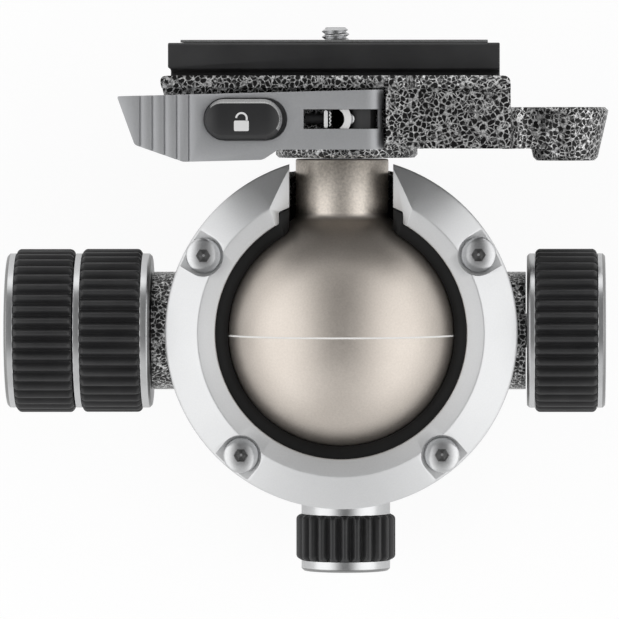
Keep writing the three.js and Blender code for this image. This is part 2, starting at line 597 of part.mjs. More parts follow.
// Scene graph
const ballHead = new THREE.Group();
const socket = new THREE.Group();
const platform = new THREE.Group();
const leftSide = new THREE.Group();
const rightSide = new THREE.Group();
const panSide = new THREE.Group();
ballHead.add(socket, platform, leftSide, rightSide, panSide);
socket.position.z = BALL_HEIGHT;
platform.position.z = BALL_HEIGHT;
platform.rotation.x = -DROP_ANGLE;
leftSide.position.z = KNOB_AXIS_HEIGHT;
leftSide.rotation.y = -Math.PI / 2;
rightSide.position.z = KNOB_AXIS_HEIGHT;
rightSide.rotation.y = Math.PI / 2;
panSide.position.z = PAN_AXIS_HEIGHT;
panSide.rotation.x = Math.PI / 2;

function place(group, name, geometry, material) {
  const welded = weld(geometry.clone());
  welded.computeVertexNormals();
  const mesh = new THREE.Mesh(welded, material);
  mesh.name = name;
  group.add(mesh);
  return mesh;
}

const degrees = THREE.MathUtils.degToRad;

// Base plate with its tripod thread
const baseScrewPlaces = Array.from({ length: BASE_SCREW_COUNT }, (_, i) => {
  const angle = (i * 2 * Math.PI) / BASE_SCREW_COUNT + Math.PI / 2;
  return [BASE_SCREW_CIRCLE * Math.cos(angle), BASE_SCREW_CIRCLE * Math.sin(angle)];
});
const baseScrewTip = SCALE_RING_TOP - REST_GAP;

function countersunk(gap) {
  const radius = BASE_SCREW_RADIUS + gap;
  const head = BASE_SCREW_HEAD_RADIUS + gap;
  const low = REST_GAP - gap;
  return [
    [0, low],
    [head, low],
    [radius, low + BASE_SCREW_HEAD_HEIGHT],
    [radius, baseScrewTip],
    [0, baseScrewTip],
  ];
}

const baseScrewCuts = baseScrewPlaces.map(([x, y]) =>
  join(
    turned(countersunk(REST_GAP), FACETS_SMALL),
    rod(BASE_SCREW_HEAD_RADIUS + REST_GAP, -OVERRUN, REST_GAP, FACETS_SMALL),
    rod(BASE_SCREW_RADIUS + REST_GAP, BASE_THICKNESS, SCALE_RING_TOP + OVERRUN, FACETS_SMALL),
  ).translate(x, y, 0),
);
const bushBore = THREAD_BUSH_RADIUS + PRESS_GAP;
const basePlate = turned(
  [
    [bushBore, 0],
    [BASE_RADIUS - BASE_CHAMFER, 0],
    [BASE_RADIUS, BASE_CHAMFER],
    [BASE_RADIUS, BASE_THICKNESS],
    [bushBore, BASE_THICKNESS],
    [bushBore, 0],
  ],
  FACETS_LARGE,
);
place(ballHead, 'base_plate', cut(basePlate, ...baseScrewCuts), blackAnodised());
place(
  ballHead,
  'thread_bush',
  ring(TRIPOD_THREAD_RADIUS, THREAD_BUSH_RADIUS, 0, BASE_THICKNESS, FACETS_LARGE),
  steel(),
);
place(
  ballHead,
  'pan_scale_ring',
  ring(SCALE_RING_BORE, SCALE_RING_RADIUS, BASE_THICKNESS, SCALE_RING_TOP, FACETS_LARGE),
  satinSilver(),
);
place(
  ballHead,
  'pan_thrust_washer',
  ring(THRUST_WASHER_BORE, THRUST_WASHER_RADIUS, BASE_THICKNESS, HOUSING_BOTTOM - REST_GAP, FACETS_MEDIUM),
  bronze(),
);
baseScrewPlaces.forEach(([x, y], i) => {
  const socketCut = hexPrism(BASE_SCREW_SOCKET_RADIUS, -OVERRUN, REST_GAP + BASE_SCREW_SOCKET_DEPTH);
  const screw = cut(turned(countersunk(0), FACETS_SMALL), socketCut);
  place(ballHead, `base_screw_${i + 1}`, screw.translate(x, y, 0), steel());
});

// Panning spindle, its washer and its nut
const grooveLow = PAN_AXIS_HEIGHT - SPINDLE_GROOVE_HALF_HEIGHT;
const grooveHigh = PAN_AXIS_HEIGHT + SPINDLE_GROOVE_HALF_HEIGHT;
const spindleTop = NUT_WELL_FLOOR - REST_GAP;
const panSpindle = turned(
  [
    [TRIPOD_THREAD_RADIUS, BASE_THICKNESS],
    [SPINDLE_FLANGE_RADIUS, BASE_THICKNESS],
    [SPINDLE_FLANGE_RADIUS, SCALE_RING_TOP],
    [SPINDLE_RADIUS, SCALE_RING_TOP],
    [SPINDLE_RADIUS, grooveLow],
    [SPINDLE_RADIUS - SPINDLE_GROOVE_DEPTH, PAN_AXIS_HEIGHT],
    [SPINDLE_RADIUS, grooveHigh],
    [SPINDLE_RADIUS, spindleTop],
    [SPINDLE_STUD_RADIUS, spindleTop],
    [SPINDLE_STUD_RADIUS, SPINDLE_STUD_TOP],
    [0, SPINDLE_STUD_TOP],
    [0, TRIPOD_THREAD_DEPTH],
    [TRIPOD_THREAD_RADIUS, TRIPOD_THREAD_DEPTH],
    [TRIPOD_THREAD_RADIUS, BASE_THICKNESS],
  ],
  FACETS_MEDIUM,
);
place(ballHead, 'pan_spindle', cut(panSpindle, ...baseScrewCuts), steel());
const washerLow = NUT_WELL_FLOOR + REST_GAP;
const studHole = SPINDLE_STUD_RADIUS + REST_GAP;
place(
  ballHead,
  'spindle_washer',
  ring(studHole, SPINDLE_WASHER_RADIUS, washerLow, SPINDLE_WASHER_TOP, FACETS_MEDIUM),
  bronze(),
);
place(
  ballHead,
  'spindle_nut',
  cut(
    hexPrism(SPINDLE_NUT_RADIUS, SPINDLE_WASHER_TOP, SPINDLE_STUD_TOP),
    rod(studHole, SPINDLE_WASHER_TOP - OVERRUN, SPINDLE_STUD_TOP + OVERRUN, FACETS_MEDIUM),
  ),
  steel(),
);

// Notch for the stem, with a round bottom and straight walls
// Its lead-in opens at 45 degrees above the collar's rim
const leadInStart = COLLAR_RIM_TOP + COLLAR_CHAMFER;
const notchTop = COLLAR_CREST + OVERRUN;
const notchFlare = NOTCH_HALF_WIDTH + notchTop - leadInStart;
function notchAbove(level) {
  const shape = new THREE.Shape();
  shape.moveTo(NOTCH_HALF_WIDTH, level);
  shape.lineTo(NOTCH_HALF_WIDTH, leadInStart + level);
  shape.lineTo(notchFlare, notchTop + level);
  shape.lineTo(-notchFlare, notchTop + level);
  shape.lineTo(-NOTCH_HALF_WIDTH, leadInStart + level);
  shape.lineTo(-NOTCH_HALF_WIDTH, level);
  shape.absarc(0, level, NOTCH_HALF_WIDTH, Math.PI, 2 * Math.PI, false);
  return slabY(shape, 0, COLLAR_RADIUS + OVERRUN);
}

// Housing: a flared pot with two knob necks, a pan boss and the notch
const flare = new THREE.QuadraticBezierCurve(
  new THREE.Vector2(HOUSING_FOOT_RADIUS, HOUSING_BOTTOM + HOUSING_EDGE),
  new THREE.Vector2(HOUSING_TOP_RADIUS, HOUSING_FLARE_HEIGHT),
  new THREE.Vector2(HOUSING_TOP_RADIUS, HOUSING_TOP),
).getPoints(CURVE_STEPS);
const housingOuter = turned(
  [
    [0, HOUSING_BOTTOM],
    [HOUSING_FOOT_RADIUS - HOUSING_EDGE, HOUSING_BOTTOM],
    ...flare.map((point) => point.toArray()),
    [0, HOUSING_TOP],
  ],
  FACETS_LARGE,
);
const housingInner = turned(
  [
    [0, HOUSING_BOTTOM - OVERRUN],
    [SPINDLE_RADIUS + REST_GAP, HOUSING_BOTTOM - OVERRUN],
    [SPINDLE_RADIUS + REST_GAP, NUT_WELL_FLOOR],
    [NUT_WELL_RADIUS, NUT_WELL_FLOOR],
    [NUT_WELL_RADIUS, POCKET_FLOOR],
    [POCKET_RADIUS, POCKET_FLOOR],
    [POCKET_RADIUS, HOUSING_TOP + OVERRUN],
    [0, HOUSING_TOP + OVERRUN],
  ],
  FACETS_LARGE,
);
const shoeBore = SHOE_RADIUS + REST_GAP;
const neckBore = NECK_BUSH_RADIUS + REST_GAP;
const screwPlaces = COLLAR_SCREW_ANGLES.map((angle) => [
  COLLAR_SCREW_CIRCLE * Math.cos(degrees(angle)),
  COLLAR_SCREW_CIRCLE * Math.sin(degrees(angle)),
]);
const screwTip = BALL_HEIGHT + COLLAR_POCKET_FLOOR - SCREW_LENGTH;
const panBoreEnd = PAN_BOSS_END + OVERRUN;
const panBushStep = PAN_BUSH_INNER - REST_GAP;
const housing = cut(
  join(
    housingOuter,
    rodX(NECK_RADIUS, 0, KNOB_AXIS_HEIGHT, -LEFT_NECK_END, -NECK_ROOT, FACETS_MEDIUM),
    rodX(NECK_RADIUS, 0, KNOB_AXIS_HEIGHT, NECK_ROOT, RIGHT_NECK_END, FACETS_MEDIUM),
    rodY(PAN_BOSS_RADIUS, 0, PAN_AXIS_HEIGHT, -PAN_BOSS_END, -NECK_ROOT, FACETS_MEDIUM),
  ),
  housingInner,
  notchAbove(BALL_HEIGHT),
  rodX(shoeBore, 0, KNOB_AXIS_HEIGHT, -LEFT_NECK_END, -NECK_ROOT, FACETS_MEDIUM),
  rodX(shoeBore, 0, KNOB_AXIS_HEIGHT, NECK_ROOT, RIGHT_NECK_END, FACETS_MEDIUM),
  rodX(neckBore, 0, KNOB_AXIS_HEIGHT, -LEFT_NECK_END - OVERRUN, -NECK_STEP, FACETS_MEDIUM),
  rodX(neckBore, 0, KNOB_AXIS_HEIGHT, NECK_STEP, RIGHT_NECK_END + OVERRUN, FACETS_MEDIUM),
  rodY(PAN_SHOE_RADIUS + REST_GAP, 0, PAN_AXIS_HEIGHT, -PAN_BUSH_INNER, 0, FACETS_SMALL),
  rodY(PAN_BUSH_RADIUS + REST_GAP, 0, PAN_AXIS_HEIGHT, -panBoreEnd, -panBushStep, FACETS_SMALL),
  ...screwPlaces.map(([x, y]) =>
    roundAt(SCREW_RADIUS + REST_GAP, x, y, screwTip - REST_GAP, HOUSING_TOP + OVERRUN, FACETS_SMALL),
  ),
);
place(ballHead, 'housing', housing, mottled());

// Collar ring, held by four button-head screws in pockets that open outward
const collarProfile = [
  [POCKET_RADIUS, COLLAR_BOTTOM],
  [COLLAR_RADIUS, COLLAR_BOTTOM],
  [COLLAR_RADIUS, COLLAR_RIM_TOP],
  [COLLAR_RADIUS - COLLAR_CHAMFER, COLLAR_RIM_TOP + COLLAR_CHAMFER],
  [COLLAR_CREST_RADIUS, COLLAR_CREST],
  [COLLAR_OPENING_RADIUS, COLLAR_OPENING_TOP],
  [COLLAR_OPENING_RADIUS, COLLAR_LEDGE],
  [POCKET_RADIUS, COLLAR_LEDGE],
  [POCKET_RADIUS, COLLAR_BOTTOM],
];
const pocketOutline = new THREE.Shape();
pocketOutline.absarc(0, 0, COLLAR_POCKET_RADIUS, Math.PI / 2, (3 * Math.PI) / 2, false);
pocketOutline.lineTo(COLLAR_RADIUS - COLLAR_SCREW_CIRCLE + OVERRUN, -COLLAR_POCKET_RADIUS);
pocketOutline.lineTo(COLLAR_RADIUS - COLLAR_SCREW_CIRCLE + OVERRUN, COLLAR_POCKET_RADIUS);
pocketOutline.closePath();
const screwPockets = COLLAR_SCREW_ANGLES.map((angle) =>
  join(
    slabZ(pocketOutline, COLLAR_POCKET_FLOOR, notchTop),
    rod(SCREW_RADIUS + REST_GAP, COLLAR_BOTTOM - OVERRUN, COLLAR_CREST, FACETS_SMALL),
  )
    .translate(COLLAR_SCREW_CIRCLE, 0, 0)
    .rotateZ(degrees(angle)),
);
place(
  socket,
  'collar_ring',
  cut(turned(collarProfile, FACETS_LARGE), notchAbove(0), ...screwPockets),
  satinSilver(),
);
const screwHeadTop = COLLAR_POCKET_FLOOR + SCREW_HEAD_HEIGHT;
const headShoulder = COLLAR_POCKET_FLOOR + SCREW_HEAD_HEIGHT / 2;
const collarScrew = cut(
  turned(
    [
      [0, COLLAR_POCKET_FLOOR - SCREW_LENGTH],
      [SCREW_RADIUS, COLLAR_POCKET_FLOOR - SCREW_LENGTH],
      [SCREW_RADIUS, COLLAR_POCKET_FLOOR],
      [SCREW_HEAD_RADIUS, COLLAR_POCKET_FLOOR],
      [SCREW_HEAD_RADIUS, headShoulder],
      [SCREW_HEAD_RADIUS - (screwHeadTop - headShoulder), screwHeadTop],
      [0, screwHeadTop],
    ],
    FACETS_SMALL,
  ),
  hexPrism(SCREW_SOCKET_RADIUS, screwHeadTop - SCREW_SOCKET_DEPTH, screwHeadTop + OVERRUN),
);
COLLAR_SCREW_ANGLES.forEach((_, i) => {
  const screw = place(socket, `collar_screw_${i + 1}`, collarScrew, steel());
  const [x, y] = screwPlaces[i];
  screw.position.set(x, y, 0);
});

// Seats that hold the ball: the upper bushing, the lower seat and its spring
const sphereRadiusAt = (height) => Math.sqrt(BALL_CLEAR_RADIUS ** 2 - height ** 2);
const sphereAngleAt = (height) => Math.asin(height / BALL_CLEAR_RADIUS);
const bushingProfile = [
  ...arcPoints(BALL_CLEAR_RADIUS, sphereAngleAt(BUSHING_BOTTOM), sphereAngleAt(BUSHING_LIP), SOCKET_STEPS),
  [COLLAR_OPENING_RADIUS, BUSHING_TOP],
  [BUSHING_RADIUS, BUSHING_TOP],
  [BUSHING_RADIUS, BUSHING_BOTTOM],
  [sphereRadiusAt(BUSHING_BOTTOM), BUSHING_BOTTOM],
];
place(socket, 'ball_bushing', cut(turned(bushingProfile, FACETS_LARGE), notchAbove(0)), blackPlastic());
const seatProfile = [
  ...arcPoints(BALL_CLEAR_RADIUS, sphereAngleAt(SEAT_BOTTOM), sphereAngleAt(SEAT_TOP), SOCKET_STEPS),
  [BUSHING_RADIUS, SEAT_TOP],
  [BUSHING_RADIUS, SEAT_BOTTOM],
  [sphereRadiusAt(SEAT_BOTTOM), SEAT_BOTTOM],
];
place(socket, 'lower_seat', turned(seatProfile, FACETS_LARGE), blackPlastic());
const seatSpringTop = SEAT_BOTTOM - REST_GAP;
const seatSpringBottom = seatSpringTop - SEAT_SPRING_THICKNESS;
place(
  socket,
  'seat_spring',
  ring(SEAT_SPRING_BORE, SEAT_SPRING_RADIUS, seatSpringBottom, seatSpringTop, FACETS_MEDIUM),
  steel(),
);

// Knob parts, turned about their own axis with +Z outward
function flutedGrip(outerRadius, boreRadius, flutes, low, high) {
  const pitch = (2 * Math.PI) / flutes;
  const points = [];
  for (let i = 0; i < flutes; i += 1) {
    const start = i * pitch;
    const land = start + pitch * (1 - FLUTE_SHARE);
    const groove = start + pitch * (1 - FLUTE_SHARE / 2);
    points.push([outerRadius * Math.cos(start), outerRadius * Math.sin(start)]);
    points.push([outerRadius * Math.cos(land), outerRadius * Math.sin(land)]);
    const depth = outerRadius - FLUTE_DEPTH;
    points.push([depth * Math.cos(groove), depth * Math.sin(groove)]);
  }
  const shape = outline(points);
  shape.holes.push(outline(arcPoints(boreRadius, 2 * Math.PI, 0, FACETS_MEDIUM).slice(1)));
  return slabZ(shape, low, high);
}

function knobCap(rimRadius, recessRadius, low, high) {
  return turned(
    [
      [0, low],
      [rimRadius, low],
      [rimRadius, high - KNOB_EDGE],
      [rimRadius - KNOB_EDGE, high],
      [recessRadius, high],
      [recessRadius - CAP_RECESS_DEPTH, high - CAP_RECESS_DEPTH],
      [0, high - CAP_RECESS_DEPTH],
    ],
    FACETS_MEDIUM,
  );
}

const spindleBore = LOCK_SPINDLE_RADIUS + REST_GAP;
const gripBore = KNOB_HUB_RADIUS + REST_GAP;

// Brake shoe: a round pad whose face follows the ball
function brakeShoe(ballSide) {
  const ball = new THREE.SphereGeometry(BALL_CLEAR_RADIUS, FACETS_LARGE, FACETS_MEDIUM);
  const pad = rod(SHOE_RADIUS, SHOE_FRONT, SHOE_BACK, FACETS_MEDIUM);
  return cut(pad, ball.translate(ballSide * KNOB_DROP, 0, 0));
}

// Left side: lock knob outside, friction knob inside
place(leftSide, 'lock_shoe', brakeShoe(1), blackPlastic());
const leftFlangeStart = LEFT_NECK_END + REST_GAP;
const sleeveEnd = FRICTION_WASHER_OUTER + REST_GAP;
const sleeveBore = FRICTION_SLEEVE_RADIUS + REST_GAP;
place(
  leftSide,
  'friction_washer',
  ring(spindleBore, FRICTION_WASHER_RADIUS, FRICTION_WASHER_INNER, FRICTION_WASHER_OUTER, FACETS_MEDIUM),
  steel(),
);
place(
  leftSide,
  'left_bush',
  ring(sleeveBore, NECK_BUSH_RADIUS, NECK_STEP + REST_GAP, LEFT_NECK_END - REST_GAP, FACETS_MEDIUM),
  bronze(),
);
const frictionCore = turned(
  [
    [spindleBore, sleeveEnd],
    [FRICTION_SLEEVE_RADIUS, sleeveEnd],
    [FRICTION_SLEEVE_RADIUS, leftFlangeStart],
    [KNOB_RIM_RADIUS - KNOB_EDGE, leftFlangeStart],
    [KNOB_RIM_RADIUS, leftFlangeStart + KNOB_EDGE],
    [KNOB_RIM_RADIUS, LEFT_FLANGE_END],
    [KNOB_HUB_RADIUS, LEFT_FLANGE_END],
    [KNOB_HUB_RADIUS, LEFT_INNER_GRIP_END],
    [KNOB_RIM_RADIUS, LEFT_INNER_GRIP_END],
    [KNOB_RIM_RADIUS, LEFT_INNER_RIM_END],
    [spindleBore, LEFT_INNER_RIM_END],
    [spindleBore, sleeveEnd],
  ],
  FACETS_MEDIUM,
);
place(leftSide, 'friction_knob_core', frictionCore, satinSilver());
const innerGripStart = LEFT_FLANGE_END + PRESS_GAP;
const innerGripEnd = LEFT_INNER_GRIP_END - PRESS_GAP;
const innerGrip = flutedGrip(KNOB_GRIP_RADIUS, gripBore, KNOB_FLUTES, innerGripStart, innerGripEnd);
place(leftSide, 'friction_knob_grip', innerGrip.rotateZ(Math.PI / KNOB_FLUTES), blackRubber());
const lockCoreStart = LEFT_INNER_RIM_END + REST_GAP;
const lockCapStart = LEFT_OUTER_GRIP_END + PRESS_GAP;
const lockSpindleEnd = lockCoreStart + SPINDLE_SOCKET_DEPTH;
function socketedCore(low, high, socketEnd) {
  return turned(
    [
      [spindleBore, low],
      [KNOB_HUB_RADIUS, low],
      [KNOB_HUB_RADIUS, high],
      [0, high],
      [0, socketEnd + REST_GAP],
      [spindleBore, socketEnd + REST_GAP],
      [spindleBore, low],
    ],
    FACETS_MEDIUM,
  );
}
place(
  leftSide,
  'lock_knob_core',
  socketedCore(lockCoreStart, LEFT_OUTER_GRIP_END - PRESS_GAP, lockSpindleEnd),
  satinSilver(),
);
place(
  leftSide,
  'lock_knob_grip',
  flutedGrip(KNOB_GRIP_RADIUS, gripBore, KNOB_FLUTES, lockCoreStart, LEFT_OUTER_GRIP_END),
  blackRubber(),
);
const lockCap = knobCap(KNOB_RIM_RADIUS, CAP_RECESS_RADIUS, lockCapStart, LEFT_END);
place(leftSide, 'lock_knob_cap', lockCap, satinSilver());
const spindleNose = SHOE_BACK + REST_GAP;
const lockSpindle = rod(LOCK_SPINDLE_RADIUS, spindleNose, lockSpindleEnd, FACETS_SMALL);
place(leftSide, 'lock_spindle', lockSpindle, steel());

// Right side: one knob with its own shoe
place(rightSide, 'right_shoe', brakeShoe(-1), blackPlastic());
place(
  rightSide,
  'right_bush',
  ring(spindleBore, NECK_BUSH_RADIUS, NECK_STEP + REST_GAP, RIGHT_NECK_END - REST_GAP, FACETS_MEDIUM),
  bronze(),
);
const rightFlangeStart = RIGHT_NECK_END + REST_GAP;
const rightSpindleEnd = rightFlangeStart + SPINDLE_SOCKET_DEPTH;
const rightCoreEnd = RIGHT_GRIP_END - PRESS_GAP;
const rightCore = turned(
  [
    [spindleBore, rightFlangeStart],
    [KNOB_RIM_RADIUS - KNOB_EDGE, rightFlangeStart],
    [KNOB_RIM_RADIUS, rightFlangeStart + KNOB_EDGE],
    [KNOB_RIM_RADIUS, RIGHT_FLANGE_END],
    [KNOB_HUB_RADIUS, RIGHT_FLANGE_END],
    [KNOB_HUB_RADIUS, rightCoreEnd],
    [0, rightCoreEnd],
    [0, rightSpindleEnd + REST_GAP],
    [spindleBore, rightSpindleEnd + REST_GAP],
    [spindleBore, rightFlangeStart],
  ],
  FACETS_MEDIUM,
);
place(rightSide, 'right_knob_core', rightCore, satinSilver());
place(
  rightSide,
  'right_knob_grip',
  flutedGrip(KNOB_GRIP_RADIUS, gripBore, KNOB_FLUTES, RIGHT_FLANGE_END + PRESS_GAP, RIGHT_GRIP_END),
  blackRubber(),
);
place(
  rightSide,
  'right_knob_cap',
  knobCap(KNOB_RIM_RADIUS, CAP_RECESS_RADIUS, RIGHT_GRIP_END + PRESS_GAP, RIGHT_END),
  satinSilver(),
);
const rightSpindle = rod(LOCK_SPINDLE_RADIUS, spindleNose, rightSpindleEnd, FACETS_SMALL);
place(rightSide, 'right_spindle', rightSpindle, steel());

// Pan lock: a small knob whose shoe presses into the spindle's groove
const grooveFlankGap = REST_GAP * Math.hypot(1, SPINDLE_GROOVE_HALF_HEIGHT / SPINDLE_GROOVE_DEPTH);
const tipDepthShare = (PAN_SHOE_TIP_RADIUS + grooveFlankGap) / SPINDLE_GROOVE_HALF_HEIGHT;
const panShoeTip = SPINDLE_RADIUS - SPINDLE_GROOVE_DEPTH * (1 - tipDepthShare);
const panShoeNose = SPINDLE_GROOVE_HALF_HEIGHT - grooveFlankGap;
const panShoeShoulder = SPINDLE_RADIUS + REST_GAP;
place(
  panSide,
  'pan_shoe',
  turned(
    [
      [0, panShoeTip],
      [PAN_SHOE_TIP_RADIUS, panShoeTip],
      [panShoeNose, SPINDLE_RADIUS],
      [panShoeNose, panShoeShoulder],
      [PAN_SHOE_RADIUS, panShoeShoulder],
      [PAN_SHOE_RADIUS, PAN_SHOE_BACK],
      [0, PAN_SHOE_BACK],
    ],
    FACETS_SMALL,
  ),
  bronze(),
);
const panScrewBore = PAN_SCREW_RADIUS + REST_GAP;
place(
  panSide,
  'pan_bush',
  ring(panScrewBore, PAN_BUSH_RADIUS, PAN_BUSH_INNER, PAN_BOSS_END - REST_GAP, FACETS_SMALL),
  bronze(),
);
const panFlangeStart = PAN_BOSS_END + PAN_GAP;
const panScrewEnd = panFlangeStart + SPINDLE_SOCKET_DEPTH;
const panCore = turned(
  [
    [panScrewBore, panFlangeStart],
    [PAN_RIM_RADIUS - KNOB_EDGE, panFlangeStart],
    [PAN_RIM_RADIUS, panFlangeStart + KNOB_EDGE],
    [PAN_RIM_RADIUS, PAN_FLANGE_END],
    [PAN_HUB_RADIUS, PAN_FLANGE_END],
    [PAN_HUB_RADIUS, PAN_GRIP_END - PRESS_GAP],
    [0, PAN_GRIP_END - PRESS_GAP],
    [0, panScrewEnd + REST_GAP],
    [panScrewBore, panScrewEnd + REST_GAP],
    [panScrewBore, panFlangeStart],
  ],
  FACETS_MEDIUM,
);
place(panSide, 'pan_knob_core', panCore, satinSilver());
const panGripBore = PAN_HUB_RADIUS + REST_GAP;
const panGripStart = PAN_FLANGE_END + PRESS_GAP;
place(
  panSide,
  'pan_knob_grip',
  flutedGrip(PAN_GRIP_RADIUS, panGripBore, PAN_FLUTES, panGripStart, PAN_GRIP_END),
  blackRubber(),
);
place(
  panSide,
  'pan_knob_cap',
  knobCap(PAN_RIM_RADIUS, PAN_CAP_RECESS_RADIUS, PAN_GRIP_END + PRESS_GAP, PAN_END),
  satinSilver(),
);
const panScrew = rod(PAN_SCREW_RADIUS, PAN_SHOE_BACK + REST_GAP, panScrewEnd, FACETS_SMALL);
place(panSide, 'pan_screw', panScrew, steel());

// Ball and stem, turned from one piece, with a hollow that opens at the bottom
const stemJunction = Math.acos(STEM_RADIUS / BALL_RADIUS);
const filletTurn = STEM_FILLET / BALL_RADIUS;
const boltHole = STEM_BOLT_RADIUS + REST_GAP;
const ballProfile = [
  [BALL_MOUTH_RADIUS, -BALL_FLAT],
  ...arcPoints(BALL_RADIUS, -Math.asin(BALL_FLAT / BALL_RADIUS), stemJunction - filletTurn, BALL_STEPS),
  [STEM_RADIUS, BALL_RADIUS * Math.sin(stemJunction) + STEM_FILLET],
  [STEM_RADIUS, STEM_TOP - STEM_EDGE],
  [STEM_RADIUS - STEM_EDGE, STEM_TOP],
  [boltHole, STEM_TOP],
  [boltHole, BALL_CAVITY_TOP],
  [BALL_CAVITY_RADIUS, BALL_CAVITY_TOP],
  [BALL_CAVITY_RADIUS, BALL_CAVITY_BOTTOM],
  [BALL_MOUTH_RADIUS, BALL_CAVITY_BOTTOM - (BALL_CAVITY_RADIUS - BALL_MOUTH_RADIUS)],
  [BALL_MOUTH_RADIUS, -BALL_FLAT],
];
place(platform, 'ball', turned(ballProfile, FACETS_LARGE), champagne());
const boltHeadTop = BALL_CAVITY_TOP - REST_GAP;
const boltHeadBottom = boltHeadTop - STEM_BOLT_HEAD_HEIGHT;
const stemBolt = turned(
  [
    [0, boltHeadBottom],
    [STEM_BOLT_HEAD_RADIUS, boltHeadBottom],
    [STEM_BOLT_HEAD_RADIUS, boltHeadTop],
    [STEM_BOLT_RADIUS, boltHeadTop],
    [STEM_BOLT_RADIUS, STEM_BOLT_TOP],
    [0, STEM_BOLT_TOP],
  ],
  FACETS_SMALL,
);
const boltSocket = hexPrism(
  STEM_BOLT_SOCKET_RADIUS,
  boltHeadBottom - OVERRUN,
  boltHeadBottom + STEM_BOLT_SOCKET_DEPTH,
);
place(platform, 'stem_bolt', cut(stemBolt, boltSocket), steel());

// Dovetail section in Y and Z, grown by a gap and mirrored for the jaws
const flankGap = REST_GAP * Math.SQRT2;
const jawLip = DOVETAIL_HALF_WIDTH + flankGap - (CLAMP_TOP - DOVETAIL_SHOULDER);
const channel = outline([
  [-DOVETAIL_HALF_WIDTH - REST_GAP, DECK_TOP],
  [CLAMP_REAR + OVERRUN, DECK_TOP],
  [CLAMP_REAR + OVERRUN, CLAMP_TOP + OVERRUN],
  [-jawLip + OVERRUN, CLAMP_TOP + OVERRUN],
  [-jawLip, CLAMP_TOP],
  [-DOVETAIL_HALF_WIDTH - REST_GAP, DOVETAIL_SHOULDER + flankGap - REST_GAP],
]);

// Clamp body: a deck with the fixed jaw, the lever's bay, the block beside it and the level's arm
const clampFace = roundedOutline(
  [
    [CLAMP_LEFT + CLAMP_END_SLANT, CLAMP_BOTTOM],
    [CLAMP_RIGHT, CLAMP_BOTTOM],
    [CLAMP_RIGHT, CLAMP_TOP],
    [CLAMP_LEFT, CLAMP_TOP],
  ],
  CLAMP_CORNER,
);
const bandStep = new THREE.Shape();
bandStep.moveTo(CLAMP_LEFT - OVERRUN, CLAMP_FRONT - OVERRUN);
bandStep.lineTo(BAND_CURVE_END, CLAMP_FRONT - OVERRUN);
bandStep.lineTo(BAND_CURVE_END, BAND_RIGHT_FRONT);
bandStep.bezierCurveTo(
  (BAND_CURVE_START + BAND_CURVE_END) / 2,
  BAND_RIGHT_FRONT,
  (BAND_CURVE_START + BAND_CURVE_END) / 2,
  BAND_LEFT_FRONT,
  BAND_CURVE_START,
  BAND_LEFT_FRONT,
);
bandStep.lineTo(CLAMP_LEFT - OVERRUN, BAND_LEFT_FRONT);
bandStep.closePath();
const bandSlope = outline([
  [CLAMP_FRONT - OVERRUN, BAND_SEAM],
  [CLAMP_FRONT + BAND_SEAM_DEPTH, BAND_SEAM],
  [CLAMP_FRONT + BAND_SEAM_DEPTH, BAND_SEAM + BAND_SEAM_WIDTH],
  [CLAMP_FRONT, BAND_SEAM + BAND_SEAM_WIDTH],
  [BAND_RIGHT_FRONT, CLAMP_TOP],
  [BAND_RIGHT_FRONT, CLAMP_TOP + OVERRUN],
  [CLAMP_FRONT - OVERRUN, CLAMP_TOP + OVERRUN],
]);
const boss = turned(
  [
    [0, BOSS_BOTTOM],
    [BOSS_RADIUS - BOSS_EDGE, BOSS_BOTTOM],
    [BOSS_RADIUS, BOSS_BOTTOM + BOSS_EDGE],
    [BOSS_RADIUS, CLAMP_BOTTOM + BOSS_EDGE],
    [0, CLAMP_BOTTOM + BOSS_EDGE],
  ],
  FACETS_MEDIUM,
).translate(BOSS_SHIFT, 0, 0);
const levelCone = turned(
  [
    [0, LEVEL_BOTTOM],
    [LEVEL_BOTTOM_RADIUS - LEVEL_EDGE, LEVEL_BOTTOM],
    [LEVEL_BOTTOM_RADIUS, LEVEL_BOTTOM + LEVEL_EDGE],
    [LEVEL_TOP_RADIUS, LEVEL_TOP - LEVEL_EDGE],
    [LEVEL_TOP_RADIUS - LEVEL_EDGE, LEVEL_TOP],
    [0, LEVEL_TOP],
  ],
  FACETS_MEDIUM,
).translate(LEVEL_X, LEVEL_Y, 0);
const armRoot = CLAMP_RIGHT - CLAMP_CORNER;
const armOutline = new THREE.Shape();
armOutline.moveTo(armRoot, LEVEL_Y - LEVEL_ARM_ROOT_HALF_WIDTH);
armOutline.lineTo(CLAMP_RIGHT, LEVEL_Y - LEVEL_ARM_ROOT_HALF_WIDTH);
armOutline.quadraticCurveTo(
  CLAMP_RIGHT,
  LEVEL_Y - LEVEL_ARM_HALF_WIDTH,
  LEVEL_X - LEVEL_BOTTOM_RADIUS,
  LEVEL_Y - LEVEL_ARM_HALF_WIDTH,
);
armOutline.lineTo(LEVEL_X, LEVEL_Y - LEVEL_ARM_HALF_WIDTH);
armOutline.lineTo(LEVEL_X, LEVEL_Y + LEVEL_ARM_HALF_WIDTH);
armOutline.lineTo(LEVEL_X - LEVEL_BOTTOM_RADIUS, LEVEL_Y + LEVEL_ARM_HALF_WIDTH);
armOutline.quadraticCurveTo(
  CLAMP_RIGHT,
  LEVEL_Y + LEVEL_ARM_HALF_WIDTH,
  CLAMP_RIGHT,
  LEVEL_Y + LEVEL_ARM_ROOT_HALF_WIDTH,
);
armOutline.lineTo(armRoot, LEVEL_Y + LEVEL_ARM_ROOT_HALF_WIDTH);
armOutline.closePath();
const rodHole = ROD_RADIUS + REST_GAP;
const pinHole = GUIDE_PIN_RADIUS + REST_GAP;
const springHole = JAW_SPRING_RADIUS + REST_GAP;
const springHoleFloor = CLAMP_REAR - JAW_SPRING_LENGTH - REST_GAP;
